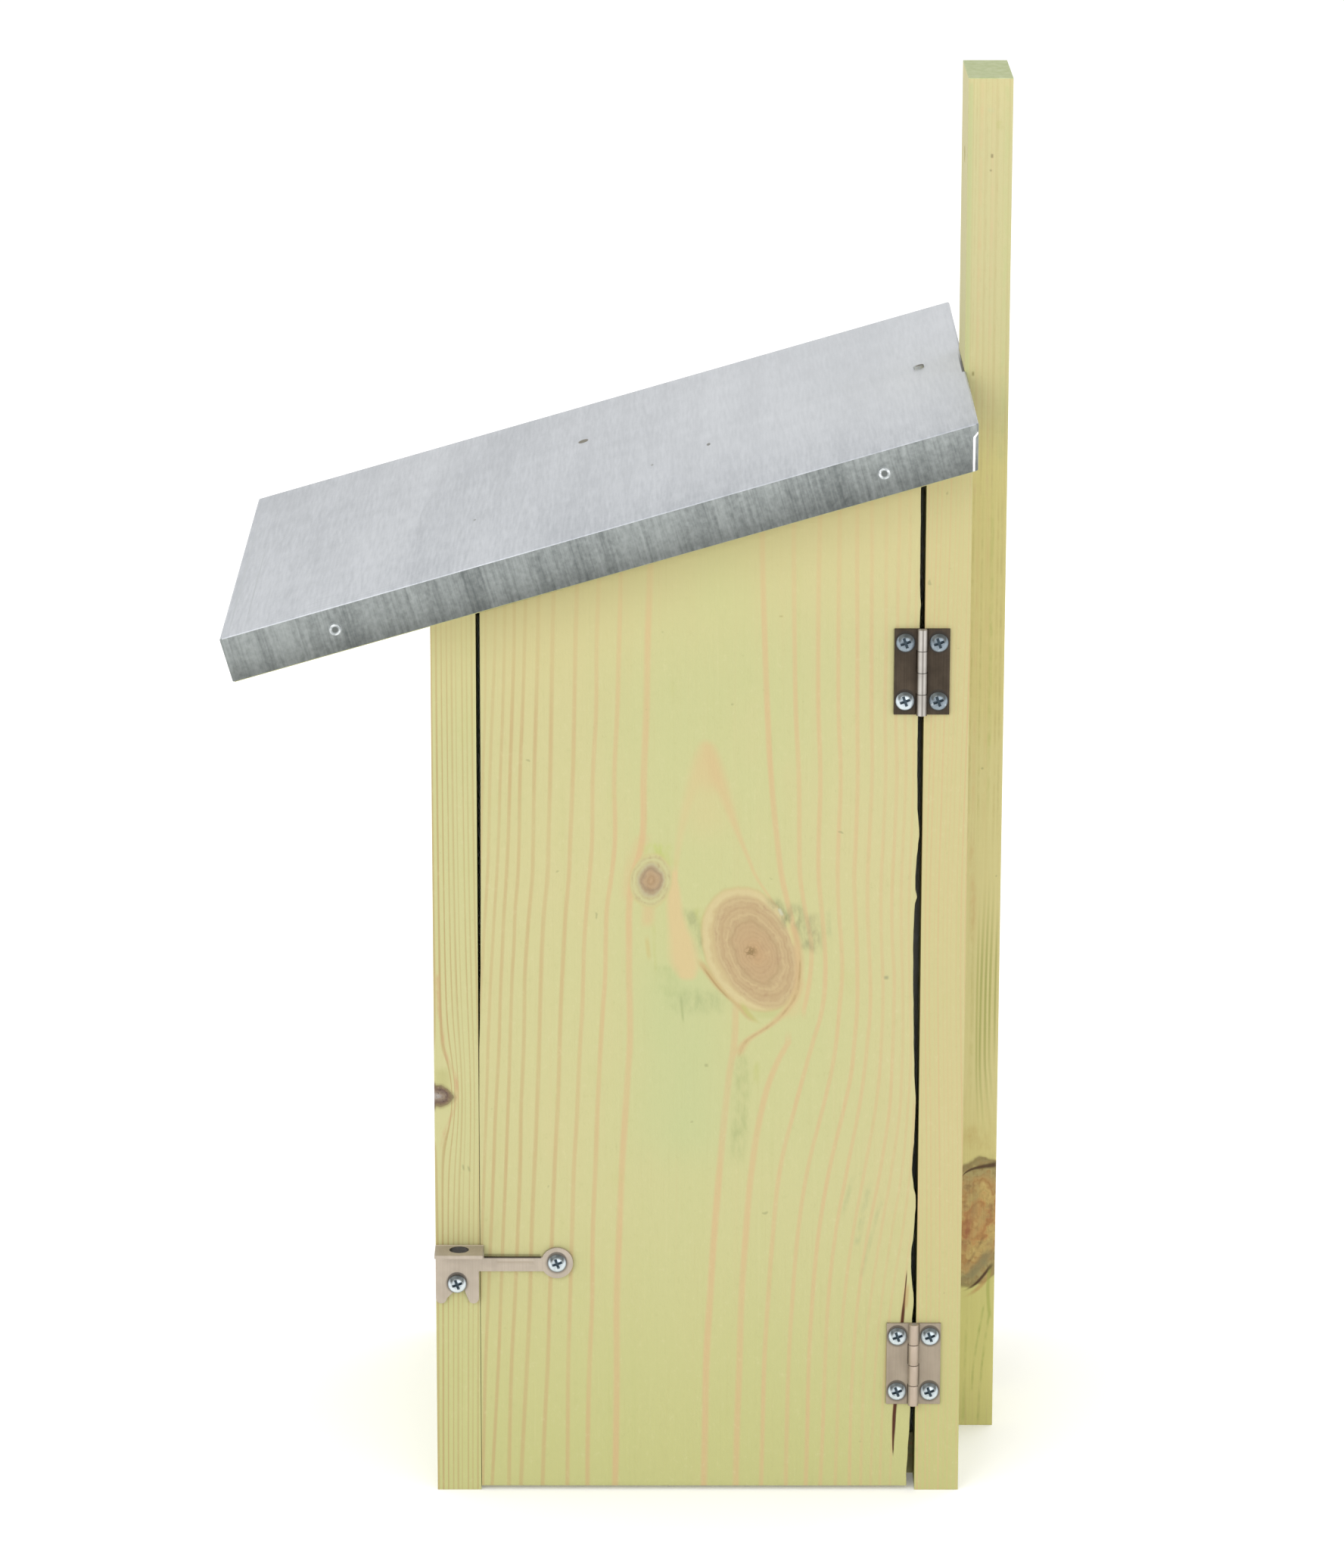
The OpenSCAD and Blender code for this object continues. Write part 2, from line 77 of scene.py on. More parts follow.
FACE_X = high("door", "x")
DOOR_FRONT = low("door", "y")
DOOR_REAR = high("door", "y")
DOOR_FOOT = low("door", "z")
DOOR_HEAD = high("door", "z")
DOOR_BACK = low("door", "x")
FRONT_Y = low("front_board", "y")
REAR_Y = high("rear_board", "y")
ROOF_SIDE = high("roof_board", "x")
BATTEN_HALF = high("wall_batten", "x")
BATTEN_TOP = high("wall_batten", "z")
PIN_Y = mid("upper_hinge_pin", "y")
UPPER_PIN_Z = mid("upper_hinge_pin", "z")

# The roof's slope, boards and overhang, as in the part's source
SLOPE = math.radians(16.3)
ROOF_T = 13.0 * MM
COVER_T = 0.5 * MM
ROOF_UNDER = 269.5 * MM
OVERHANG = 57.2 * MM
# The cover's front edge, as a distance along the slope's direction from the frame's origin
COVER_FRONT = FRONT_Y * math.cos(SLOPE) + ROOF_UNDER * math.sin(SLOPE) - OVERHANG - COVER_T


def under_z(y):
    """Height of the roof board's underside."""
    return ROOF_UNDER + (y - FRONT_Y) * math.tan(SLOPE)


def roof_point(x, v, w):
    """The point v up the slope from the front board's face and w square to the roof's underside."""
    return Vector((x, FRONT_Y + v * math.cos(SLOPE) - w * math.sin(SLOPE),
                   ROOF_UNDER + v * math.sin(SLOPE) + w * math.cos(SLOPE)))


# A small language for material nodes: arithmetic on a Field adds math nodes to its tree

def shade(colour):
    """A colour written as three sRGB numbers from 0 to 255, as linear light with alpha 1."""
    linear = [((c / 255 + 0.055) / 1.055) ** 2.4 if c > 10 else c / 255 / 12.92 for c in colour]
    return (*linear, 1.0)


def plug(node, values):
    """Gives inputs, by name or number, a Field, another node's socket, an sRGB colour or a plain value."""
    for key, value in values.items():
        slot = node.inputs[key]
        if isinstance(value, Field):
            value = value.socket
        if isinstance(value, bpy.types.NodeSocket):
            node.id_data.links.new(value, slot)
        elif slot.type == "RGBA" and len(value) == 3:
            slot.default_value = shade(value)
        else:
            slot.default_value = value


def maths(operation, swapped=False):
    """A method of Field that adds one math node; swapped puts the field itself last."""
    def method(field, *others):
        node = field.tree.nodes.new("ShaderNodeMath")
        node.operation = operation
        plug(node, dict(enumerate((*others, field) if swapped else (field, *others))))
        return Field(field.tree, node.outputs[0])
    return method


class Field:
    """A number that varies over a surface."""

    def __init__(self, tree, socket):
        self.tree, self.socket = tree, socket

    __add__ = maths("ADD")
    __sub__ = maths("SUBTRACT")
    __rsub__ = maths("SUBTRACT", swapped=True)
    __mul__ = maths("MULTIPLY")
    __truediv__ = maths("DIVIDE")
    __rtruediv__ = maths("DIVIDE", swapped=True)
    sqrt = maths("SQRT")
    abs = maths("ABSOLUTE")
    fract = maths("FRACT")
    floor = maths("FLOOR")
    least = maths("MINIMUM")
    most = maths("MAXIMUM")
    scaled = maths("MULTIPLY_ADD")

    def step(self, start, end, full=1.0):
        """0 at start and full at end, eased between them; start may be the larger."""
        node = self.tree.nodes.new("ShaderNodeMapRange")
        node.interpolation_type = "SMOOTHSTEP"
        node.clamp = True
        bounds = (start, end, 0.0, full) if start <= end else (end, start, full, 0.0)
        plug(node, {"Value": self, **dict(zip(("From Min", "From Max", "To Min", "To Max"), bounds))})
        return Field(self.tree, node.outputs["Result"])

    def within(self, start, end, fade, past=0.0):
        """1 from start to end, eased to 0 over fade inside them and over past outside them."""
        half = (end - start) / 2
        return (self - (start + end) / 2).abs().step(half + past, half - fade)

    def bump_at(self, centre, width, full=1.0):
        """full at centre, falling softly to 0 at a distance of width."""
        return (self - centre).abs().step(width, 0.0, full)


class Paint:
    """A material under construction: its fields, the colour laid so far and its Principled shader."""

    def __init__(self, name):
        self.material = bpy.data.materials.new(name)
        self.material.use_nodes = True
        self.tree = self.material.node_tree
        self.shader = self.tree.nodes["Principled BSDF"]
        coords = self.node("ShaderNodeTexCoord", {})
        split = self.node("ShaderNodeSeparateXYZ", {0: coords.outputs["Object"]})
        self.x, self.y, self.z = (Field(self.tree, out) for out in split.outputs)

    def node(self, kind, values, **settings):
        node = self.tree.nodes.new(kind)
        for name, value in settings.items():
            setattr(node, name, value)
        plug(node, values)
        return node

    def noise(self, parts, detail=2.0, rough=0.5):
        """Soft noise from about -1 to 1, over coordinates already scaled to its cell size."""
        point = self.node("ShaderNodeCombineXYZ", dict(enumerate(parts))).outputs[0]
        values = {"Vector": point, "Scale": 1.0, "Detail": detail, "Roughness": rough}
        node = self.node("ShaderNodeTexNoise", values)
        return (Field(self.tree, node.outputs["Fac"]) - 0.5) * 3.0

    def grains(self, size, detail=2.0, rough=0.5):
        """The same noise, as wide as it is long and deep; size is in cells per metre."""
        return self.noise((self.x * size, self.y * size, self.z * size), detail, rough)

    def cell(self, value):
        """One random number from 0 to 1 for each whole number."""
        node = self.node("ShaderNodeTexWhiteNoise", {"W": value}, noise_dimensions="1D")
        return Field(self.tree, node.outputs["Value"])

    def curve(self, field, pairs):
        """A smooth curve through (at, value) pairs, level beyond its ends."""
        start, length = pairs[0][0], pairs[-1][0] - pairs[0][0]
        values = [p[1] for p in pairs]
        least = min(values)
        spread = max(max(values) - least, 1e-5)
        spots = [((at - start) / length, (value - least) / spread) for at, value in pairs]
        return self.bend(field.scaled(1 / length, -start / length), spots).scaled(spread, least)

    def bend(self, field, spots):
        """A curve from 0..1 to 0..1 through some spots."""
        node = self.node("ShaderNodeFloatCurve", {"Value": field})
        points = node.mapping.curves[0].points
        for i, spot in enumerate(spots):
            if i < 2:
                points[i].location = spot
            else:
                points.new(*spot)
        node.mapping.extend = "HORIZONTAL"
        node.mapping.update()
        return Field(self.tree, node.outputs["Value"])

    def ramp(self, field, stops):
        """A colour socket that runs through (at, colour) stops."""
        reach = stops[-1][0]
        node = self.node("ShaderNodeValToRGB", {"Fac": field / reach})
        elements = node.color_ramp.elements
        for i, (at, colour) in enumerate(stops):
            element = elements[i] if i < 2 else elements.new(1.0)
            element.position = at / reach
            element.color = shade(colour)
        return node.outputs["Color"]

    def nearest(self, a, b, places):
        """Distance to the nearest of some places, each a pair."""
        total = None
        for pa, pb in places:
            da, db = a - pa, b - pb
            far = da * da + db * db
            total = far if total is None else total.least(far)
        return total.sqrt()

    def mix(self, below, above, amount, blend="MIX"):
        """A colour socket: below where amount is 0 and above where it is 1."""
        factor_input, below_input, above_input, colour_output = 0, 6, 7, 2
        values = {factor_input: amount, below_input: below, above_input: above}
        node = self.node("ShaderNodeMix", values, data_type="RGBA", blend_type=blend)
        return node.outputs[colour_output]

    def lay(self, above, amount):
        """Covers the colour laid so far where amount is more than 0."""
        self.colour = self.mix(self.colour, above, amount)

    def finish(self, roughness, height=None, relief=0.0, metallic=0.0, specular=0.5):
        if height is not None:
            bump = self.node("ShaderNodeBump", {"Strength": 1.0, "Distance": relief, "Height": height})
            plug(self.shader, {"Normal": bump.outputs[0]})
        plug(self.shader, {"Base Color": self.colour, "Roughness": roughness, "Metallic": metallic,
                           "Specular IOR Level": specular})
        return self.material


# Pine colours, sRGB, as they look in even light; LIGHT is how much brighter than white that light is
LIGHT = 1.5
PALE = (214, 206, 151)
GREENISH = (206, 206, 148)
STRAW = (220, 203, 150)
LATE = (219, 187, 139)
FINE = (196, 186, 128)
DUST = (186, 184, 126)
BROWN = (196, 168, 116)
FOOT = (202, 202, 136)
# Painted light: the paler colour laid on the boards just under the roof, against the roof's shade
EAVE_PAINTED_LIGHT = (230, 217, 160)
OLIVE = (150, 156, 108)
LIME = (192, 194, 118)
SPLIT = (88, 46, 20)


@dataclass
class Mark:
    """A line traced on a face: its path is (along, side) pairs in mm, or (side, along) if flat, and half is
    its half width, or (along, half width) pairs. soft is the share of the half width that is a soft edge,
    fade is how many mm of each end fade out, and patchy marks are broken up by the grain."""
    path: list
    half: object
    colour: tuple
    tone: float = 1.0
    soft: float = 0.7
    fade: float = 3.0
    patchy: bool = False
    flat: bool = False


@dataclass
class Knot:
    """A knot in mm: (side, along) of its middle, half sizes, and (share of its size, colour) layers. The
    grain flows round it within reach, less drawn out where long is larger. star is where it is cracked."""
    at: tuple
    size: tuple
    layers: list
    turn: float = 0
    reach: float = 0
    long: float = 0.4
    uneven: float = 0.035
    warp: float = 0.3
    mottle: float = 0.4
    rings: float = 8
    ring_tone: float = 0.3
    ring_colour: tuple = (176, 146, 106)
    dark: tuple = (158, 128, 96)
    light: tuple = (222, 198, 148)
    grit: float = 0.0
    rim: tuple = (188, 154, 108)
    rim_width: float = 0.06
    rim_tone: float = 0.5
    star: tuple = None


@dataclass
class Face:
    """What was traced on one face of a board: grain lines, marks, knots and the marks over them. The grain
    flows round the knots in flow. side is the direction of the board that runs sideways on the face, and
    where is an axis and the two places in mm where the face begins to show and shows in full."""
    side: str
    where: tuple
    lines: tuple = ()
    marks: tuple = ()
    knots: tuple = ()
    over: tuple = ()
    flow: tuple = ()


def faint(*args, soft=0.9, **more):
    """A soft, patchy mark."""
    return Mark(*args, soft=soft, patchy=True, **more)


def around(side, along, knot):
    """The grain's sideways place, pushed apart where it flows round a knot."""
    da, db = side - knot.at[0] * MM, (along - knot.at[1] * MM) * knot.long
    reach = knot.reach * MM
    keep = 1.0 - (reach * reach) / ((da * da + db * db).most(reach * reach))
    return da * keep + knot.at[0] * MM


def cover_of(mark, paint, side, along, patches):
    """How much a mark covers."""
    if mark.flat:
        side, along = along, side
    path = sorted((at * MM, place * MM) for at, place in mark.path)
    off = (side - paint.curve(along, path)).abs()
    if isinstance(mark.half, (int, float)):
        cover = off.step((1.0 + mark.soft) * mark.half * MM, (1.0 - mark.soft) * mark.half * MM, mark.tone)
    else:
        width = paint.curve(along, sorted((at * MM, half * MM) for at, half in mark.half))
        cover = (off / width).step(1.0 + mark.soft, 1.0 - mark.soft, mark.tone)
    cover = cover * along.within(path[0][0], path[-1][0], mark.fade * MM)
    return cover * patches if mark.patchy else cover


def traced_lines(paint, side, along, lines):
    """The grain lines of one face, traced at LINE_HEIGHTS from the one numbered first."""
    tall, wide = LINE_HEIGHTS[0] * MM, 160 * MM
    up, across = along / tall, side.scaled(1 / wide, 0.5)
    total = None
    for half, tone, first, places in lines:
        known = [(at * MM, place * MM) for at, place in zip(LINE_HEIGHTS[first:], places)][::-1]
        curve = paint.bend(up, [(at / tall, place / wide + 0.5) for at, place in known])
        cover = (across - curve).abs().step(half * 1.55 * MM / wide, half * 0.45 * MM / wide, tone)
        if len(known) < len(LINE_HEIGHTS):
            cover = cover * along.within(known[0][0], known[-1][0], MM, past=4 * MM)
        total = cover if total is None else total.most(cover)
    return total


def draw_knot(paint, side, along, knot, wavy, cloudy, dusty):
    """Paints one knot: an uneven tilted ellipse with layers of colour, fine rings, a rim and a star."""
    turn = math.radians(knot.turn)
    da, db = side - knot.at[0] * MM, along - knot.at[1] * MM
    p = (da * math.cos(turn) + db * math.sin(turn)) / (knot.size[0] * MM)
    q = (db * math.cos(turn) - da * math.sin(turn)) / (knot.size[1] * MM)
    disc = (p * p + q * q).sqrt() + wavy * knot.uneven
    body = paint.ramp(disc + cloudy * (0.05 + knot.warp * 0.1), knot.layers)
    rings = (disc * knot.rings + cloudy * knot.warp).fract().bump_at(0.5, 0.45, knot.ring_tone)
    body = paint.mix(body, knot.ring_colour, rings * dusty.step(-1.0, 0.6))
    body = paint.mix(body, knot.dark, (cloudy + dusty * 0.8).step(0.1, 1.6, knot.mottle))
    body = paint.mix(body, knot.light, (cloudy + dusty).step(-0.3, -1.8, knot.mottle * 0.8))
    paint.lay(body, disc.step(1.03, 0.96))
    if knot.grit:
        grit = paint.noise((side * 1500, along * 1500, 8.0), 2.0)
        inside = disc.step(1.0, 0.85, knot.grit)
        paint.lay((66, 54, 50), grit.step(0.1, 0.9) * inside)
        paint.lay((206, 202, 194), grit.step(-0.5, -1.2) * inside)
    paint.lay(knot.rim, disc.bump_at(1.0, knot.rim_width, knot.rim_tone))
    if knot.star:
        sa, sb = side - knot.star[0] * MM, along - knot.star[1] * MM
        far = (sa * sa + sb * sb).sqrt()
        veins = paint.noise((sa * 420, sb * 420, 3.0), 2.0).abs().step(0.3, 0.03)
        paint.lay((140, 116, 74), veins * far.step(2.6 * MM, 0.5 * MM, 0.75))


class Board(Paint):
    """Paint for pine: a runs across the grain, b along it and c through the board."""

    def __init__(self, name, across, along, through, seed):
        super().__init__(name)
        self.a, self.b, self.c = (self.direction(v) for v in (across, along, through))
        self.seed = seed

    def direction(self, v):
        """The place along a direction (x, y, z)."""
        parts = [f * k for f, k in zip((self.x, self.y, self.z), v) if abs(k) > 1e-6]
        return sum(parts[1:], parts[0])

    def fibres(self, wide, long, detail=2.0, rough=0.5, seeded=False):
        """Noise with so many cells per metre across and along the grain."""
        deep = self.c * wide
        if seeded:
            deep = deep + self.seed
        return self.noise((self.a * wide, self.b * long, deep), detail, rough)

    def shows(self, face):
        """1 on a face and 0 inside the board."""
        axis, begin, full = face.where
        return getattr(self, axis).step(begin * MM, full * MM)

    def sideways(self, face):
        return self.c if face.side == "through" else self.a


def growth_rings(board, heart, ring, band, flow, shown):
    """How much the late wood shows: rings about the heart, bent round the knots."""
    a, b, seed = board.a, board.b, board.seed
    bent, deep = a + board.noise((a * 4, b * 6, seed), 1.0) * 1.2 * MM, board.c
    for knot in flow:
        bent = around(bent, b, knot)
    for face, here in shown:
        for knot in face.flow:
            if face.side == "through":
                deep = deep + (around(deep, b, knot) - deep) * here
            else:
                bent = bent + (around(bent, b, knot) - bent) * here
    u, d = bent - heart[0] * MM, deep - heart[1] * MM
    radius = (u * u + d * d).sqrt() + board.noise((a * 3, b * 2, seed + 7), 1.0) * 0.4 * MM
    rings = radius / (ring * MM)
    uneven = rings + board.noise((rings * 0.9, seed + 3, 0.0), 0.0) * 0.25
    strength = board.cell(uneven.floor() + seed) * 0.6 + 0.4
    slope = u.abs() / radius
    for face, here in shown:
        if face.side == "through":
            slope = slope + (d.abs() / radius - slope) * here
    late_mm = (1.0 - uneven.fract()) * ring / slope.most(0.12)
    return late_mm.step(band * 1.5, band * 0.6) * uneven.fract().step(1.0, 0.86) * strength


def lay_ground(board, base, green, foot, tint, streaked, middle):
    """The wood's colour between its lines, greener near middle and in the board's foot."""
    greening = board.fibres(22, 9, 3.0, seeded=True) * 0.45 + tint
    if middle:
        greening = greening + (board.a - middle[0] * MM).abs().step(middle[1] * MM, 0.0) * 0.4
    board.colour = base
    board.lay(green, greening.step(0.0, 1.0))
    blotch = board.noise((board.a * 55, board.b * 24, board.seed + 11), 3.0)
    board.lay(STRAW, (blotch * 0.8).step(0.1, 1.0) * 0.35)
    board.lay(foot, board.b.step(105 * MM, 5 * MM, 0.8))
    bands = board.fibres(260, 5, 3.0, 0.65, seeded=True)
    board.lay((218, 192, 142), bands.step(0.1, 1.3, streaked))
    board.lay((188, 192, 120), bands.step(-0.1, -1.3, streaked))


def lay_faces(board, shown, dusty):
    """What was traced on each face, over what the board has so far."""
    patches = board.fibres(430, 200, 3.0, 0.6).step(-0.8, 0.9)
    wavy, cloudy = (board.fibres(k, k, seeded=True) for k in (190, 330))
    for face, here in shown:
        side = board.sideways(face)
        plain = board.colour
        for mark in face.marks:
            board.lay(mark.colour, cover_of(mark, board, side, board.b, patches))
        for knot in face.knots:
            draw_knot(board, side, board.b, knot, wavy, cloudy, dusty)
        for mark in face.over:
            board.lay(mark.colour, cover_of(mark, board, side, board.b, patches))
        board.colour = board.mix(plain, board.colour, here)


def pine(name, across, along, through, heart, ring, seed, faces=(), flow=(), lines=1.0, tint=0.5, middle=None,
         base=PALE, green=GREENISH, band=1.1, late_colour=LATE, foot=FOOT, streaked=0.3, eave_light=0.0, end=None):
    """Flat-sawn pine. across, along and through are (x, y, z) directions of the board, and heart is the
    place (across, through) of the tree's middle in mm, so end grain shows the same rings as the faces.
    middle is the place and half width of a greener stripe, eave_light is how strongly light is painted on the
    wood just under the roof against the roof's shade, and end is where the end grain begins."""
    board = Board(name, across, along, through, seed)
    a, b, c = board.a, board.b, board.c
    shown = [(face, board.shows(face)) for face in faces]
    grain = board.fibres(1100, 22, 3.0, 0.65)
    dusty = board.fibres(650, 420, 3.0, 0.7)
    lay_ground(board, base, green, foot, tint, streaked, middle)
    late = growth_rings(board, heart, ring, band, flow, shown)
    for face, here in shown:
        if face.lines:
            late = late * (1.0 - here) + traced_lines(board, board.sideways(face), b, face.lines) * here
    late = late * (board.fibres(900, 9) * 0.2 + board.noise((a * 30, b * 35, seed), 2.0) * 0.3 + 0.95)
    if middle:
        late_colour = board.mix(late_colour, BROWN, a.step((middle[0] - 18) * MM, (middle[0] - 56) * MM, 0.8))
    board.lay(late_colour, (late * lines).least(1.0))
    board.lay(FINE, grain.step(0.1, 1.6, 0.5))
    board.lay((230, 222, 170), grain.step(-0.2, -1.6, 0.45))
    board.lay(DUST, dusty.step(0.1, 1.7, 0.65))
    board.lay((232, 226, 178), dusty.step(-0.1, -1.7, 0.55))
    board.lay(LIME, board.fibres(110, 60, 3.0, seeded=True).step(0.25, 1.5, 0.35))
    if faces:
        lay_faces(board, shown, dusty)
    # Painted light under the roof, against the shade that the roof casts
    if eave_light:
        below = board.y.scaled(math.tan(SLOPE), ROOF_UNDER - FRONT_Y * math.tan(SLOPE)) - board.z
        board.lay(EAVE_PAINTED_LIGHT, below.step(50 * MM, -4 * MM, eave_light))
    if end:
        mottled = board.noise((a * 260, c * 420, 5.0), 3.0).step(-0.8, 1.0)
        mottled = board.mix((210, 220, 172), (186, 200, 142), mottled)
        board.lay(mottled, b.step(end - 0.35 * MM, end - 0.15 * MM, 0.9))
    board.lay((158, 160, 112), board.fibres(420, 420, 0.0, seeded=True).step(1.12, 1.3) * 0.5)
    board.colour = board.mix(board.colour, (1 / LIGHT, 1 / LIGHT, 1 / LIGHT, 1.0), 1.0, "MULTIPLY")
    height = grain * 0.4 + board.fibres(60, 700, 1.0) * 0.25
    return board.finish(grain * 0.04 + 0.64, height, 0.1 * MM, specular=0.25)


def zinc(name, dark, pale, streak_dir, contrast, rough=0.42, marks=(), fold=None, spangled=0.3,
         fine=(230, 0.4)):
    """Galvanised sheet: long soft streaks along one direction, faint spangle and small specks. fine is how
    close its streaks stand and how much its hair lines show; fold is the rear face's place, and with it
    highlights are painted on the rear bend and round the edge nails; without it, shade is painted in the gap
    by the batten."""
    paint = Paint(name)
    s = paint.x * streak_dir[0] + paint.y * streak_dir[1] + paint.z * streak_dir[2]
    up = paint.y * math.cos(SLOPE) + paint.z * math.sin(SLOPE)

    def rolled(long, close, detail=2.0, rough=0.5):
        return paint.noise((paint.x * long, up * close, s * long), detail, rough)

    wide = rolled(5, 42)
    streaks = rolled(9, fine[0], 3.0, 0.65)
    hair = rolled(60, 1100, 2.0, 0.6)
    spangle = paint.grains(620, 3.0, 0.65)
    cross = rolled(60, 8)
    amount = wide * 0.3 + streaks * 0.34 + hair * fine[1] + spangle * spangled + cross * 0.12
    paint.colour = dark
    paint.lay(pale, (amount * contrast + 0.5).step(-0.2, 1.2))
    paint.lay((120, 122, 118), rolled(330, 330, 0.0).step(1.2, 1.35) * 0.6)
    if fold:
        # A painted highlight on the bend where the folded edge turns the rear corner
        high_z = paint.z - under_z(fold)
        off = (paint.y - fold + 1.2 * MM - high_z.step(9.5 * MM, 11.5 * MM, 1.2 * MM)).abs()
        bright = off.step(0.42 * MM, 0.2 * MM) * high_z.step(11.5 * MM, 11 * MM)
        paint.lay((255, 255, 255), bright * paint.x.step(ROOF_SIDE, ROOF_SIDE + COVER_T / 2))
        # A painted highlight: a paler ring on the sheet round each edge nail's dimple
        nail_dimple_highlight = paint.nearest(paint.y, paint.z, EDGE_NAILS).step(2.2 * MM, 1.5 * MM, 0.5)
        paint.lay((190, 195, 195), nail_dimple_highlight)
    else:
        paler = up.step(COVER_FRONT + 70 * MM, COVER_FRONT + 190 * MM, 0.36) * paint.x.step(100 * MM, 20 * MM)
        paint.lay((208, 211, 215), paler)
        # Painted shade in the gap where the cover's rear edge meets the batten
        slot = (REAR_Y - paint.y).step(0.9 * MM, 0.6 * MM) * paint.x.step(-BATTEN_HALF, BATTEN_HALF * 0.4)
        paint.lay((62, 62, 54), slot * paint.x.step(BATTEN_HALF + 1.2 * MM, BATTEN_HALF + 0.6 * MM))
    for at_up, at_x, half_up, half_x, colour in marks:
        du = (up - (COVER_FRONT + at_up * MM)).abs() / (half_up * MM)
        dx = (paint.x - at_x * MM).abs() / (half_x * MM)
        paint.lay(colour, (du * du + dx * dx).sqrt().step(1.15, 0.8))
    return paint.finish(streaks * 0.05 + rough, hair * 0.5 + spangle * 0.5, 0.02 * MM, metallic=0.55)


def plated(name, colour, pale, rough, metallic=0.5, screws=(), barrel=None, arm=None, hole=None,
           barrel_wear_and_highlight=(196, 180, 177), specular=0.5, seam=0.0):
    """Plated steel with faint drawn lines and cloudy tarnish, with painted shade round its screws. barrel is
    the height off the door's face beyond which a hinge shows wear and a painted highlight, and seam how dark
    the joint along it is. arm has the places of the latch's arm, its pressed rib and its top edge, where a
    shadow is painted, and hole is the hole in the latch's finger tab (x, y, radius), with painted shade
    inside and a painted highlight on the tab's bend."""
    paint = Paint(name)
    cloud = paint.grains(180, 3.0)
    drawn = paint.noise((paint.x * 400, paint.y * 2600, paint.z * 60), 2.0)
    height = drawn * 0.4 + cloud * 0.3
    paint.colour = colour
    paint.lay(pale, (cloud * 0.4 + drawn * 0.2 + 0.4).step(0.0, 1.0))
    if screws:
        # Painted shade: a dark ring round each screw head, and a painted shadow as a crescent above it
        screw_ring_shade = paint.nearest(paint.y, paint.z, screws).step(3.7 * MM, 2.7 * MM, 0.6)
        shadow = paint.nearest(paint.y, paint.z - 0.55 * MM, screws).step(3.1 * MM, 2.8 * MM, 0.75)
        paint.lay((50, 46, 42), screw_ring_shade.most(shadow))
    if barrel:
        off_pin = paint.y - PIN_Y
        # Wear and a painted highlight make the hinge's barrel bright
        barrel_lit_wear = (paint.x - FACE_X).step(barrel * 0.8, barrel) * off_pin.abs().step(1.5 * MM, 0.7 * MM)
        paint.lay(barrel_wear_and_highlight, barrel_lit_wear * (cloud * 0.2 + 0.8))
        if seam:
            paint.lay((96, 90, 84), barrel_lit_wear * (off_pin - 0.1 * MM).abs().step(0.42 * MM, 0.08 * MM, seam))
    if arm:
        off = (paint.z - arm["rib"]).abs()
        rib = paint.y.within(arm["from"] + 3.5 * MM, arm["to"] - 1.8 * MM, MM)
        paint.lay((150, 138, 120), off.step(0.5 * MM, 0.1 * MM) * rib * 0.6)
        height = height + off.step(0.9 * MM, 0.1 * MM) * rib * 12.0
        # A painted shadow along the arm's top edge
        edge = paint.z.step(arm["top"] - 0.3 * MM, arm["top"] - 0.12 * MM, 0.95)
        paint.lay((48, 42, 32), paint.y.within(arm["from"], arm["to"], 0.4 * MM) * edge)
    if hole:
        hole_x, hole_y, radius = hole
        off_face = paint.x - FACE_X
        # Painted shade inside the tab's hole and on the plate seen through it
        hole_wall_shade = paint.nearest(paint.x, paint.y, [(hole_x, hole_y)]).step(radius + 0.2 * MM, radius + 0.1 * MM)
        shade_behind_hole = (paint.y - hole_y).abs().step(radius, radius - 0.4 * MM) * paint.z.step(73.4 * MM, 74 * MM)
        shade_behind_hole = shade_behind_hole * off_face.step(1.5 * MM, 1.4 * MM)
        paint.lay((34, 32, 29), (hole_wall_shade + shade_behind_hole).least(0.95) * cloud.step(1.2, 0.2))
        # A painted highlight on the tab's bend
        bend = off_face.step(2.4 * MM, 1.4 * MM) * off_face.step(0.4 * MM, 1.0 * MM)
        paint.lay((220, 208, 194), bend * paint.z.step(76.6 * MM, 77.2 * MM, 0.8))
    return paint.finish(cloud * 0.05 + rough, height, 0.01 * MM, metallic=metallic, specular=specular)


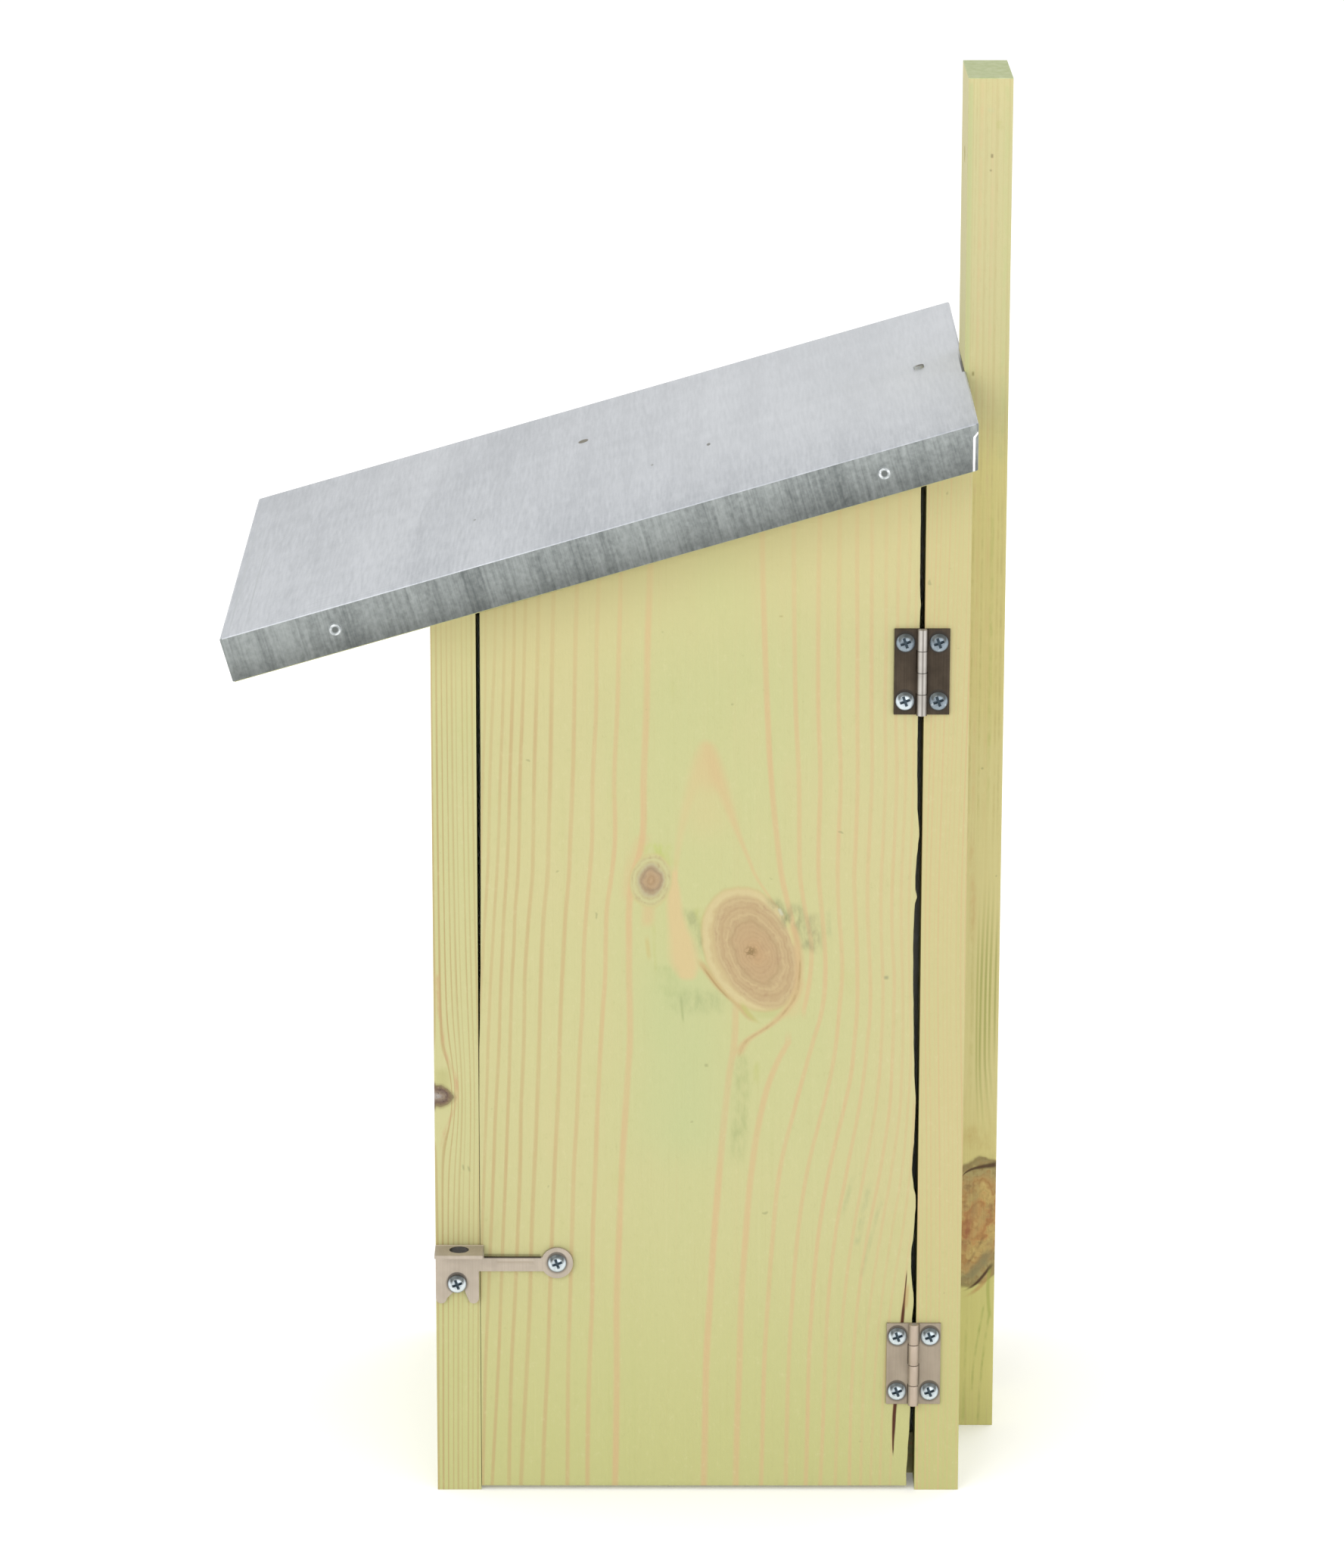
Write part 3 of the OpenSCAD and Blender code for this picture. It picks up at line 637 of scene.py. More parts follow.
def driven(name, rim, core, places, top, dull=None):
    """A raised head: bright rim, painted shade in its bowl, dirt and painted shade in the cross slots,
    painted glints and dark reflections, and a painted dark reflection as a crescent on top. top is where the
    heads' middles stand.
    Heads above the height dull are darker, but for the upper hinge's lower front one."""
    paint = Paint(name)
    reach = SCREW_R
    far = paint.nearest(paint.y, paint.z, places)
    above = paint.nearest(paint.y, paint.z - reach * 0.6, places)
    cloud = paint.grains(700)
    if dull:
        spared = paint.z.step(UPPER_PIN_Z, UPPER_PIN_Z - MM) * paint.y.step(PIN_Y, PIN_Y - MM)
        tarnish = paint.z.step(dull, dull + MM) * (1.0 - spared)
        rim = paint.mix(rim, (134, 146, 155), tarnish)
        core = paint.mix(core, (78, 88, 96), tarnish)
    surface = far * far * (-SCREW_DOME / (reach * reach)) + top
    # Painted shade in the bowl round the middle, and dirt and painted shade in the cross slots
    sunk = (surface - paint.x).step(0.06 * MM, 0.25 * MM) * far.step(reach * 0.75, reach * 0.45)
    bowl = far.step(reach * 0.68, reach * 0.3, 0.5) + cloud.step(0.0, 1.2, 0.4)
    paint.colour = rim
    paint.lay(core, (bowl + sunk * 0.6).least(1.0))
    # Painted glints and dark reflections in patches
    paint.lay((238, 242, 242), cloud.step(-0.2, -1.0, 0.6))
    paint.lay((70, 82, 86), cloud.step(0.35, 1.2, 0.6))
    # A painted dark reflection as a crescent on top of each head, and painted shade round its rim
    crescent = above.step(reach, reach * 0.65) * far.step(reach * 0.4, reach * 0.72, 0.95)
    paint.lay((62, 66, 64), crescent.most(far.step(reach * 0.84, reach, 0.7)))
    paint.lay((40, 56, 66), sunk * 0.9)
    return paint.finish(cloud * 0.06 + 0.3, cloud * 0.4, 0.02 * MM, metallic=0.6)


def dimpled(name, rim, core, axes, places, reach):
    """A flat nail head, a dark middle in a paler ring; on the roof's edge nails that ring is a painted
    highlight of the dimple round the head. axes are the two that its face lies along.
    """
    paint = Paint(name)
    cloud = paint.grains(900)
    far = paint.nearest(getattr(paint, axes[0]), getattr(paint, axes[1]), places)
    paint.colour = rim
    paint.lay((138, 144, 144), cloud.step(-0.5, 0.4, 0.85))
    paint.lay(core, far.step(reach, reach * 0.6) * cloud.step(1.6, 0.4))
    return paint.finish(0.4, cloud * 0.4, 0.02 * MM, metallic=0.4)


def clear_plastic(name):
    paint = Paint(name)
    smear = paint.noise((paint.x * 40, paint.y * 40, paint.z * 15), 3.0)
    paint.colour = (236, 244, 246)
    paint.lay((226, 238, 240), smear.step(-0.5, 1.0))
    plug(paint.shader, {"Alpha": 0.14})
    return paint.finish(smear * 0.02 + 0.06)


def centres(*nodes):
    """The places (y, z) of the separate fasteners in some CAD nodes, from the front back in each."""
    found = []
    for node in nodes:
        places = []
        bm = bmesh.new()
        bm.from_mesh(NODES[node].data)
        bmesh.ops.remove_doubles(bm, verts=bm.verts, dist=1e-6)
        left = set(bm.verts)
        while left:
            queue, seen = [left.pop()], []
            while queue:
                vert = queue.pop()
                seen.append(vert.co.copy())
                beside = {edge.other_vert(vert) for edge in vert.link_edges} & left
                left -= beside
                queue += beside
            ys, zs = [c.y for c in seen], [c.z for c in seen]
            places.append(((min(ys) + max(ys)) / 2, (min(zs) + max(zs)) / 2))
        found += sorted(places)
        bm.free()
    return found


# Mesh tools

def add_object(bm, name, material):
    """Turns a mesh under construction into an object of the scene."""
    mesh = bpy.data.meshes.new(name)
    bm.to_mesh(mesh)
    bm.free()
    mesh.materials.append(material)
    thing = bpy.data.objects.new(name, mesh)
    bpy.context.scene.collection.objects.link(thing)
    return thing


def keep(bm, name, material, body, slot, replaced):
    """Makes a smooth-shaded mesh into a piece that rides on a body in place of some CAD nodes."""
    bmesh.ops.remove_doubles(bm, verts=bm.verts, dist=1e-7)
    bmesh.ops.recalc_face_normals(bm, faces=bm.faces)
    piece = add_object(bm, name, material)
    for face in piece.data.polygons:
        face.use_smooth = True
    piece.data.set_sharp_from_angle(angle=math.radians(38))
    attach(piece, body)
    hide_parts(*replaced)
    return piece


def dress(node, material, ease=0.0, segments=2):
    """Gives a CAD node its material and, where ease is set, softened edges."""
    piece = NODES[node]
    piece.data.materials.clear()
    piece.data.materials.append(material)
    if ease:
        weld = piece.modifiers.new("weld", "WELD")
        weld.merge_threshold = 1e-6
        flat = piece.modifiers.new("flat", "DECIMATE")
        flat.decimate_type = "DISSOLVE"
        flat.angle_limit = math.radians(0.6)
        soft = piece.modifiers.new("ease", "BEVEL")
        soft.width = ease
        soft.segments = segments
        soft.limit_method = "ANGLE"
        soft.angle_limit = math.radians(30)
        soft.harden_normals = True


X, Y, Z = (1, 0, 0), (0, 1, 0), (0, 0, 1)
UP_SLOPE = (0, math.cos(SLOPE), math.sin(SLOPE))
OFF_SLOPE = (0, -math.sin(SLOPE), math.cos(SLOPE))

# The door's wood: heights in mm at which its grain lines were traced on the photo, then each line's half
# width, strength, number of its first height and places across the door
LINE_HEIGHTS = [300, 280, 260, 240, 220, 200, 190, 180, 170, 160, 150, 140, 130, 120, 100, 80, 60, 40, 20, 0]
DOOR_LINES = [
    (0.9, 0.9, 0, [-13.8, -14.4, -15.1, -15.4, -16.2, -16.8, -19.4, -20.4, -20.4, -20.4, -20.2, -20.2, -20.8,
                   -21.4, -22.6, -23.4, -24.1, -24.1, -24.3, -24.7]),
    (0.65, 0.8, 0, [-22.5, -22.8, -23.3, -23.8, -24.7, -24.6, -25.6, -26.9, -27.2, -27.4, -28.1, -28.7,
                    -29.2, -29.7, -30.4, -31.2, -31.4, -32.2, -32.7, -32.9]),
    (0.6, 0.7, 0, [-28.9, -29.1, -29.7, -29.9, -30.9, -31.2, -31.9, -32.8, -33.5, -33.8, -34.1, -34.7, -35.2,
                   -35.6, -36.7, -37.3, -37.9, -38.5, -38.7, -38.9]),
    (0.6, 0.75, 0, [-35.0, -35.2, -35.8, -36.2, -36.7, -37.5, -37.9, -38.8, -39.4, -39.9, -40.4, -40.7,
                    -41.0, -41.4, -42.4, -43.2, -43.9, -44.6, -45.6, -46.3]),
    (0.6, 0.7, 0, [-41.7, -41.9, -42.4, -42.8, -43.2, -43.8, -44.1, -45.1, -45.7, -46.1, -46.4, -46.7, -47.0,
                   -47.4, -48.3, -49.2, -49.8, -50.7, -51.8, -52.8]),
    (0.55, 0.7, 0, [-46.0, -46.3, -46.6, -47.2, -47.8, -48.2, -48.5, -49.4, -50.2, -50.8, -51.0, -51.2,
                    -51.6, -52.1, -52.5, -53.3, -54.2, -55.3, -55.9, -56.3]),
    (0.5, 0.75, 0, [-49.6, -49.9, -50.4, -51.1, -51.9, -52.3, -52.7, -53.5, -53.9, -54.5, -54.9, -55.2,
                    -55.5, -55.9, -56.7, -57.6, -58.4, -59.2, -60.3, -61.4]),
    (0.5, 0.75, 0, [-53.2, -53.3, -53.4, -54.1, -54.8, -55.5, -56.0, -56.7, -57.2, -57.7, -58.1, -58.4,
                    -58.9, -59.5, -60.3, -61.2, -62.1, -63.0, -63.6, -64.2]),
    (0.45, 0.6, 0, [-55.9, -56.0, -56.2, -56.8, -57.6, -58.3, -58.8, -59.5, -60.1, -60.7, -61.2, -61.6,
                    -61.9, -62.3, -63.0, -63.8, -64.5]),
    (0.45, 0.5, 0, [-58.6, -58.7, -58.9, -59.8, -60.6, -61.1, -61.5, -62.2, -62.8, -63.4, -64.0]),
    (0.4, 0.5, 0, [-61.2, -61.4, -61.7, -61.9, -62.7, -63.3, -63.8]),
    (0.95, 0.9, 10, [10.6, 10.3, 8.9, 7.8, 6.1, 4.6, 3.4, 2.4, 2.1, 1.7]),
    (0.9, 0.85, 11, [26.2, 21.4, 18.6, 15.5, 13.9, 12.7, 12.2, 11.6, 11.3]),
    (0.8, 0.85, 0, [17.6, 17.9, 18.6, 19.4, 20.6, 22.6, 23.9, 26.2, 28.4]),
    (0.65, 0.75, 0, [26.6, 26.8, 27.1, 27.6, 28.6, 28.9, 29.2, 30.7, 32.5, 32.3, 30.6]),
    (0.65, 0.8, 0, [34.2, 33.9, 33.9, 34.1, 34.8, 34.5, 34.6, 35.5, 36.4, 36.7, 35.9, 33.3, 30.7, 28.2, 23.8,
                    21.9, 20.6, 19.6, 19.2, 18.8]),
    (0.6, 0.75, 0, [39.8, 39.7, 39.7, 39.9, 40.7, 40.2, 40.1, 40.5, 41.3, 41.6, 40.9, 40.1, 38.6, 36.4, 31.9,
                    29.2, 27.8, 26.8, 26.4, 26.2]),
    (0.6, 0.8, 0, [44.8, 44.9, 45.2, 45.3, 45.6, 45.2, 44.9, 45.3, 45.8, 46.1, 46.1, 45.4, 44.5, 42.6, 38.3,
                   35.3, 33.7, 32.8, 32.5, 32.1]),
    (0.55, 0.7, 0, [48.9, 49.1, 49.2, 49.4, 49.7, 49.1, 48.8, 48.9, 49.3, 49.8, 49.9, 49.2, 48.3, 47.0, 43.5,
                    40.3, 38.4, 37.6, 37.1, 36.4]),
    (0.5, 0.55, 0, [53.3, 53.2, 53.4, 53.3, 53.7, 53.1, 52.7, 52.7, 53.0, 53.5, 53.6, 53.3, 52.8, 51.8, 48.7,
                    45.4, 43.1, 41.9, 41.4, 40.9]),
    (0.5, 0.65, 0, [56.9, 56.7, 56.6, 56.4, 56.9, 56.4, 56.0, 55.9, 56.2, 56.8, 56.8, 56.7, 56.4, 55.9, 53.3,
                    49.8, 47.2, 45.9, 45.3, 45.2]),
    (0.45, 0.5, 0, [59.8, 59.9, 59.4, 59.1, 59.5, 58.9, 58.6, 58.6, 58.8, 59.2, 59.4, 59.5, 59.3, 59.0, 56.6,
                    53.6, 50.9, 49.3, 48.8, 48.5]),
    (0.4, 0.45, 1, [62.0, 61.8, 61.6, 61.7, 61.3, 61.0, 60.9, 61.0, 61.3, 61.6, 61.9, 61.8, 61.3, 59.7, 56.8,
                    54.2, 52.6, 51.9, 51.4]),
    (0.4, 0.5, 13, [63.0, 62.2, 59.9, 57.1, 55.5, 54.6, 54.2]),
    (0.35, 0.45, 15, [62.6, 60.4, 58.9, 57.8, 57.2]),
]
# The arch over the knots, the resin blob that its left limb runs into, and the stains and smudges round
# the knots; then what lies on the knots, the cracks, and a painted shadow above the latch's arm
DOOR_MARKS = [
    Mark([(298, 3), (280, 4), (262, 3)], 7.5, (198, 212, 148), 0.3, soft=0.9, fade=14.0),
    Mark([(175, -3), (150, -5), (130, -4), (95, -6)], 12, (196, 206, 150), 0.5, soft=0.9, fade=20.0),
    Mark([(232, 1.6), (222, 1.8), (214, 2.0), (206, 2.2), (197, 3.0)], [(232, 0.6), (222, 2.6), (206, 6.0),
         (197, 6.0)], (218, 202, 148), 0.45, soft=0.9, fade=12.0),
    Mark([(232, 1.6), (228, 0.6), (222, -1.0), (214, -3.0), (206, -5.0), (198, -6.3), (193, -6.9),
         (188, -7.4)], [(232, 0.4), (229, 1.5), (222, 1.9), (214, 1.5), (206, 1.1), (196, 0.8), (188, 0.8)],
         (220, 196, 144), 0.42, soft=0.9, fade=3.0),
    Mark([(193, -6.9), (188, -7.4), (182, -7.3), (176, -6.5), (170, -5.1), (164, -4.2), (158, -3.3)],
         [(193, 0.7), (190, 0.9), (186, 1.7), (180, 2.2), (175, 2.6), (170, 3.5), (165, 3.9), (161, 2.9),
         (158, 1.0)], (222, 197, 146), 0.85, soft=0.5, fade=2.0),
    Mark([(231, 1.8), (222, 2.6), (213, 4.0)], [(231, 1.0), (224, 3.0), (213, 3.6)], (219, 192, 142), 0.5,
         soft=0.95, fade=7.0),
    Mark([(232, 1.8), (228, 3.0), (222, 4.7), (214, 7.4), (206, 10.1), (200, 12.4), (196, 14.0), (190, 16.5),
         (186, 19.0), (183, 21.0), (178, 24.0), (173, 26.8), (168, 28.5)], [(232, 0.4), (228, 1.8),
         (222, 2.0), (214, 1.5), (206, 1.0), (200, 0.7), (190, 0.5), (168, 0.5)], (219, 190, 140), 0.6,
         soft=0.9, fade=3.0),
    Mark([(204, -15.5), (197, -18.2), (190, -20.0), (182, -20.4)], 1.9, LATE, 0.4, soft=0.9),
    Mark([(186, -14.6), (180, -14.8), (174, -15.2)], 1.6, LATE, 0.55, soft=0.8),
    faint([(201, -13.0), (197, -11.6), (192.5, -10.4)], 3.2, (190, 200, 108), 0.75, fade=2.0),
    Mark([(173, -15.4), (167, -14.8), (164, -14.4)], 0.6, (206, 188, 126), 0.6),
    Mark([(178, -13.4), (160, -12.7)], 0.5, LIME, 0.45, patchy=True),
    faint([(181.5, -3.3), (178, -2.3), (174.5, -0.6), (171.5, 0.3), (168, 1.0), (165.5, 2.4)], 1.8,
          (158, 164, 116), 0.75),
    Mark([(182, -1.0), (173, 2.0), (168, 3.6), (164, 5.2)], 1.3, LIME, 0.6, patchy=True),
    faint([(180, 32.7), (175, 33.2), (171, 33.5), (166, 33.7)], 1.8, (158, 150, 112), 0.7),
    Mark([(181, 37.2), (171, 37.9)], 0.7, (178, 182, 134), 0.5, patchy=True),
    Mark([(166, -0.2), (163, 1.2), (160, 3.4), (157.5, 5.3), (155, 7.6), (152.5, 10.3), (150, 12.6),
         (147, 15.2), (145, 17.5)], [(166, 0.5), (162, 1.1), (157, 1.3), (150, 1.3), (145, 0.9)],
         (204, 176, 124), 0.8, soft=0.7),
    Mark([(163.5, 0.6), (160, 3.0), (157, 5.2), (154.5, 7.4), (152, 9.6)], 0.35, (178, 148, 98), 0.7),
    Mark([(153, 20.5), (149, 20.0), (146.5, 19.0)], 4.2, (196, 196, 134), 0.6, soft=0.8, fade=1.5),
    Mark([(160, 29.8), (152, 28.0), (146, 25.0)], 2.6, (218, 196, 144), 0.45, soft=0.9),
    Mark([(139.5, 12.6), (130, 12.6), (120, 12.4), (110, 11.6), (100, 10.4)], 2.2, (174, 182, 124), 0.65,
         patchy=True, fade=8.0),
    Mark([(135, 17.2), (126, 16.6)], 0.9, LIME, 0.6, patchy=True),
    Mark([(155, -5.4), (150, -5.0), (145, -4.5)], 0.35, (170, 178, 122), 0.6),
    Mark([(152, -7.8), (149, -7.2)], 0.7, (172, 180, 124), 0.5, patchy=True, fade=1.0),
    faint([(158, -1), (147, 1.0)], 6.5, (172, 182, 128), 0.75, fade=4.0),
    Mark([(164, -10), (153, -8.0)], 3.0, (178, 188, 128), 0.5, patchy=True, fade=2.0),
    Mark([(100, 46), (92, 43.8), (84, 42.4)], 0.7, (176, 182, 132), 0.5, patchy=True),
    Mark([(98, 50.5), (88, 48.6), (76, 46.5)], 0.8, (170, 178, 132), 0.55, patchy=True),
    Mark([(92, 54), (80, 51), (66, 48)], 0.6, (176, 182, 132), 0.45, patchy=True),
    Mark([(160.4, 54.5), (158.8, 54.5)], 0.6, (156, 158, 120), 0.7, fade=0.6),
    Mark([(133.5, 2.1), (132, 2.2)], 0.5, (170, 172, 120), 0.7, fade=0.6),
    Mark([(268.3, 23.2), (267.5, 23.2)], 0.5, (176, 166, 110), 0.7, fade=0.3),
]
DOOR_OVER = [
    faint([(184.8, 20.6), (182, 22.4), (179, 24.1), (176, 25.6), (173.5, 26.5)], 1.8, (128, 136, 96), 0.85),
    Mark([(181, 23.0), (178, 24.2)], 0.5, (214, 214, 186), 0.7, fade=1.0),
    Mark([(178, 24.8), (173, 26.8), (168, 28.0)], 0.6, (212, 214, 150), 0.8),
    faint([(183, 27.5), (178, 28.6), (174, 29.4), (170, 30.2), (167, 30.7)], 1.8, (142, 146, 106), 0.75),
    Mark([(177, 26.2), (171, 28.2), (165, 29.1), (160, 29.1), (156, 28.6), (153.5, 27.8), (150, 25.6),
         (147, 23.0), (144.5, 20.0), (142.5, 17.0), (141, 14.8), (139.5, 13.3), (137, 12.0), (134.5, 11.4)],
         1.2, (214, 182, 134), 0.7, soft=0.8),
    Mark([(168, 29.0), (165, 29.3), (160, 29.2), (156, 28.6), (153.5, 27.8), (150, 25.6), (147, 23.0),
         (144.5, 20.0), (142.5, 17.0), (141, 14.8), (139.5, 13.3), (137, 12.0), (134.5, 11.4)], [(168, 0.25),
         (160, 0.35), (155, 0.5), (150, 0.4), (144.5, 0.6), (139, 0.5), (134.5, 0.25)], (176, 150, 100), 0.7,
         fade=2.0, patchy=True),
    Mark([(153, 12.2), (150, 13.4), (147, 15.8), (144.8, 19)], 0.8, LIME, 0.6),
    Mark([(70, 61.6), (60, 60.9), (54, 60.4), (28, 58.6), (20, 58.1), (10, 58.1)], [(70, 0.1), (60, 0.3),
         (54, 0.5), (28, 0.55), (20, 0.4), (10, 0.12)], SPLIT, 1.0, soft=0.5),
    Mark([(27, 58.7), (14, 58.1)], 0.3, (78, 34, 16), 0.9, fade=6.0),
    # A painted shadow along the latch arm's top edge
    Mark([(-63.4, 73.95), (-46.4, 73.85)], 0.4, (110, 102, 62), 0.5, flat=True, fade=0.5),
    Mark([(66, 61.9), (56, 61.3)], 0.5, (196, 158, 104), 0.6),
]
DOOR_KNOTS = [
    Knot(at=(-14.0, 189.0), size=(6.0, 7.8), turn=-8, uneven=0.06, rings=5, ring_tone=0.35, mottle=0.7,
         layers=[(0, (194, 164, 126)), (0.16, (178, 150, 114)), (0.3, (192, 166, 130)),
                 (0.44, (168, 146, 116)), (0.56, (190, 178, 142)), (0.7, (205, 200, 148)),
                 (1.1, (210, 205, 150))],
         rim=(206, 194, 136), rim_width=0.12),
    Knot(at=(14.9, 168.2), size=(13.3, 19.4), turn=21, rings=9, ring_tone=0.12, mottle=0.05, uneven=0.03,
         layers=[(0, (206, 184, 136)), (0.8, (208, 188, 139)), (0.9, (217, 201, 151)),
                 (1.1, (219, 203, 153))],
         ring_colour=(200, 172, 122), rim=(204, 180, 126), rim_tone=0.4),
    Knot(at=(16.4, 167.4), size=(10.9, 18.0), turn=24, rings=12, warp=0.5, mottle=0.7, dark=(176, 140, 108),
         uneven=0.03, layers=[(0, (200, 166, 122)), (0.25, (198, 168, 126)), (0.48, (198, 170, 128)),
                              (0.56, (190, 164, 122)), (0.66, (206, 182, 137)), (0.82, (196, 170, 127)),
                              (0.9, (205, 182, 137)), (1.1, (208, 190, 142))],
         rim=(196, 170, 124), rim_tone=0.3, star=(15.0, 167.4)),
]
DOOR_FACE = Face("across", ("x", FACE_X / MM - 1.4, FACE_X / MM - 0.8), lines=DOOR_LINES, marks=DOOR_MARKS,
                 knots=DOOR_KNOTS, over=DOOR_OVER)
door_pine = pine("door_pine", Y, Z, X, (1.2, FACE_X / MM - 45), 3.35, 0.0, [DOOR_FACE],
                 tint=0.36, middle=(2, 52), lines=0.85, eave_light=0.6)

# The front board, and its edge beside the door
BESIDE_DOOR = ("x", 69.2, 69.8)
EDGE_KNOT = Knot(at=(-76.4, 123.0), size=(4.0, 3.4), reach=3.6, long=0.3, rings=2, uneven=0.3, ring_tone=0.2,
                 mottle=0.6, grit=0.85, rim=(150, 138, 96), rim_width=0.3,
                 layers=[(0, (178, 172, 166)), (0.35, (140, 124, 108)), (0.6, (112, 90, 78)),
                         (0.85, (128, 112, 84)), (1.1, (170, 158, 112))])
FRONT_MARKS = [
    faint([(162, -76.3), (150, -75.9), (145, -75.2), (140, -74.8), (135, -73.7), (132, -72.3), (128, -71.1),
          (125, -70.9), (121, -71.2), (118, -72.2), (114, -73.8), (111, -74.9), (106, -75.4)], [(162, 0.6),
          (135, 0.5), (125, 0.5), (112, 0.5), (106, 0.6)], (206, 168, 124), 0.85),
    Mark([(133, -75.5), (128, -75.0), (118, -75.6)], 2.0, (186, 182, 118), 0.5, soft=0.8),
    Mark([(102.5, -69.3), (100, -69.0)], 0.3, OLIVE, 0.5, fade=1.0),
    Mark([(102, -67.8), (99.5, -67.2)], 0.3, OLIVE, 0.5, fade=1.0),
]
FRONT_EDGE = Face("through", BESIDE_DOOR, marks=FRONT_MARKS, knots=[EDGE_KNOT], flow=[EDGE_KNOT])
FRONT_KNOT = Knot(at=(-34, 128), size=(4.2, 5.2), reach=10, rings=5, warp=0.6,
                  layers=[(0, (186, 150, 112)), (0.6, (176, 144, 108)), (0.85, (192, 168, 122)),
                          (1.1, (208, 196, 144))])
FRONT_KNOTS = [replace(EDGE_KNOT, at=(70.8, 123.0), size=(5.0, 4.2), turn=14), FRONT_KNOT]
FRONT_FACE = Face("across", ("y", -76.9, -77.3), knots=FRONT_KNOTS)
front_pine = pine("front_pine", X, Z, Y, (26, FRONT_Y / MM - 110), 1.35, 5.0, [FRONT_EDGE, FRONT_FACE],
                  flow=[FRONT_KNOT], lines=1.2, tint=0.6, band=0.5, late_colour=(194, 174, 120), eave_light=0.6)

# The rear board, the side without the door, the floor and the roof board
REAR_KNOTS = [
    Knot(at=(44, 176), size=(5.5, 7.5), turn=10, reach=11, rings=6, ring_tone=0.6, warp=0.6,
         layers=[(0, (188, 150, 112)), (0.5, (180, 146, 108)), (0.8, (194, 168, 122)),
                 (1.1, (210, 196, 144))]),
    Knot(at=(-46, 74), size=(4.0, 5.0), reach=9, rings=4, warp=0.6,
         layers=[(0, (180, 142, 106)), (0.6, (184, 154, 114)), (1.1, (206, 194, 144))]),
]
REAR_FACES = [Face("through", BESIDE_DOOR), Face("across", ("y", 76.9, 77.3), knots=REAR_KNOTS)]
rear_pine = pine("rear_pine", X, Z, Y, (20, REAR_Y / MM + 110), 1.2, 9.0, REAR_FACES, flow=REAR_KNOTS,
                 lines=0.9, tint=0.25, band=0.4, late_colour=(216, 188, 138), base=(213, 201, 145),
                 green=(204, 203, 143), foot=(200, 200, 132), eave_light=0.35)
SIDE_KNOTS = [
    Knot(at=(22, 118), size=(7, 10), turn=12, reach=14, rings=9, ring_tone=0.6, warp=0.7, mottle=0.8,
         layers=[(0, (192, 156, 114)), (0.4, (188, 158, 118)), (0.6, (200, 174, 130)),
                 (0.8, (190, 164, 120)), (1.1, (212, 196, 144))], rim=(196, 166, 116), star=(22, 118)),
    Knot(at=(-30, 222), size=(4.4, 5.6), reach=9, rings=5, ring_tone=0.5, warp=0.7, mottle=0.8,
         layers=[(0, (184, 148, 110)), (0.6, (182, 152, 116)), (0.85, (198, 178, 132)),
                 (1.1, (208, 200, 146))]),
]
side_pine = pine("side_pine", Y, Z, X, (-6, -FACE_X / MM + 50), 3.4, 14.0,
                 [Face("across", ("x", 0, -20), knots=SIDE_KNOTS)], flow=SIDE_KNOTS, tint=0.4)
floor_pine = pine("floor_pine", X, Y, Z, (0, 48), 3.0, 21.0, tint=0.4, lines=0.8, foot=GREENISH)
roof_pine = pine("roof_pine", X, UP_SLOPE, OFF_SLOPE, (4, 215), 3.0, 27.0, tint=0.4, lines=0.8, foot=GREENISH)

# The wall batten, whose broken knot shows on its side


def wash(start, end, colour, tone, fade):
    """A colour laid over the batten's whole side, from one height to another."""
    return Mark([(start, 84), (end, 84)], 9.0, colour, tone, soft=0.3, fade=fade)


def fine_lines(heights, rows, **more):
    """Faint grain lines through the same heights: each row is (half, tone, colour, places)."""
    return [faint(list(zip(heights, places)), half, colour, tone, **more)
            for half, tone, colour, places in rows]


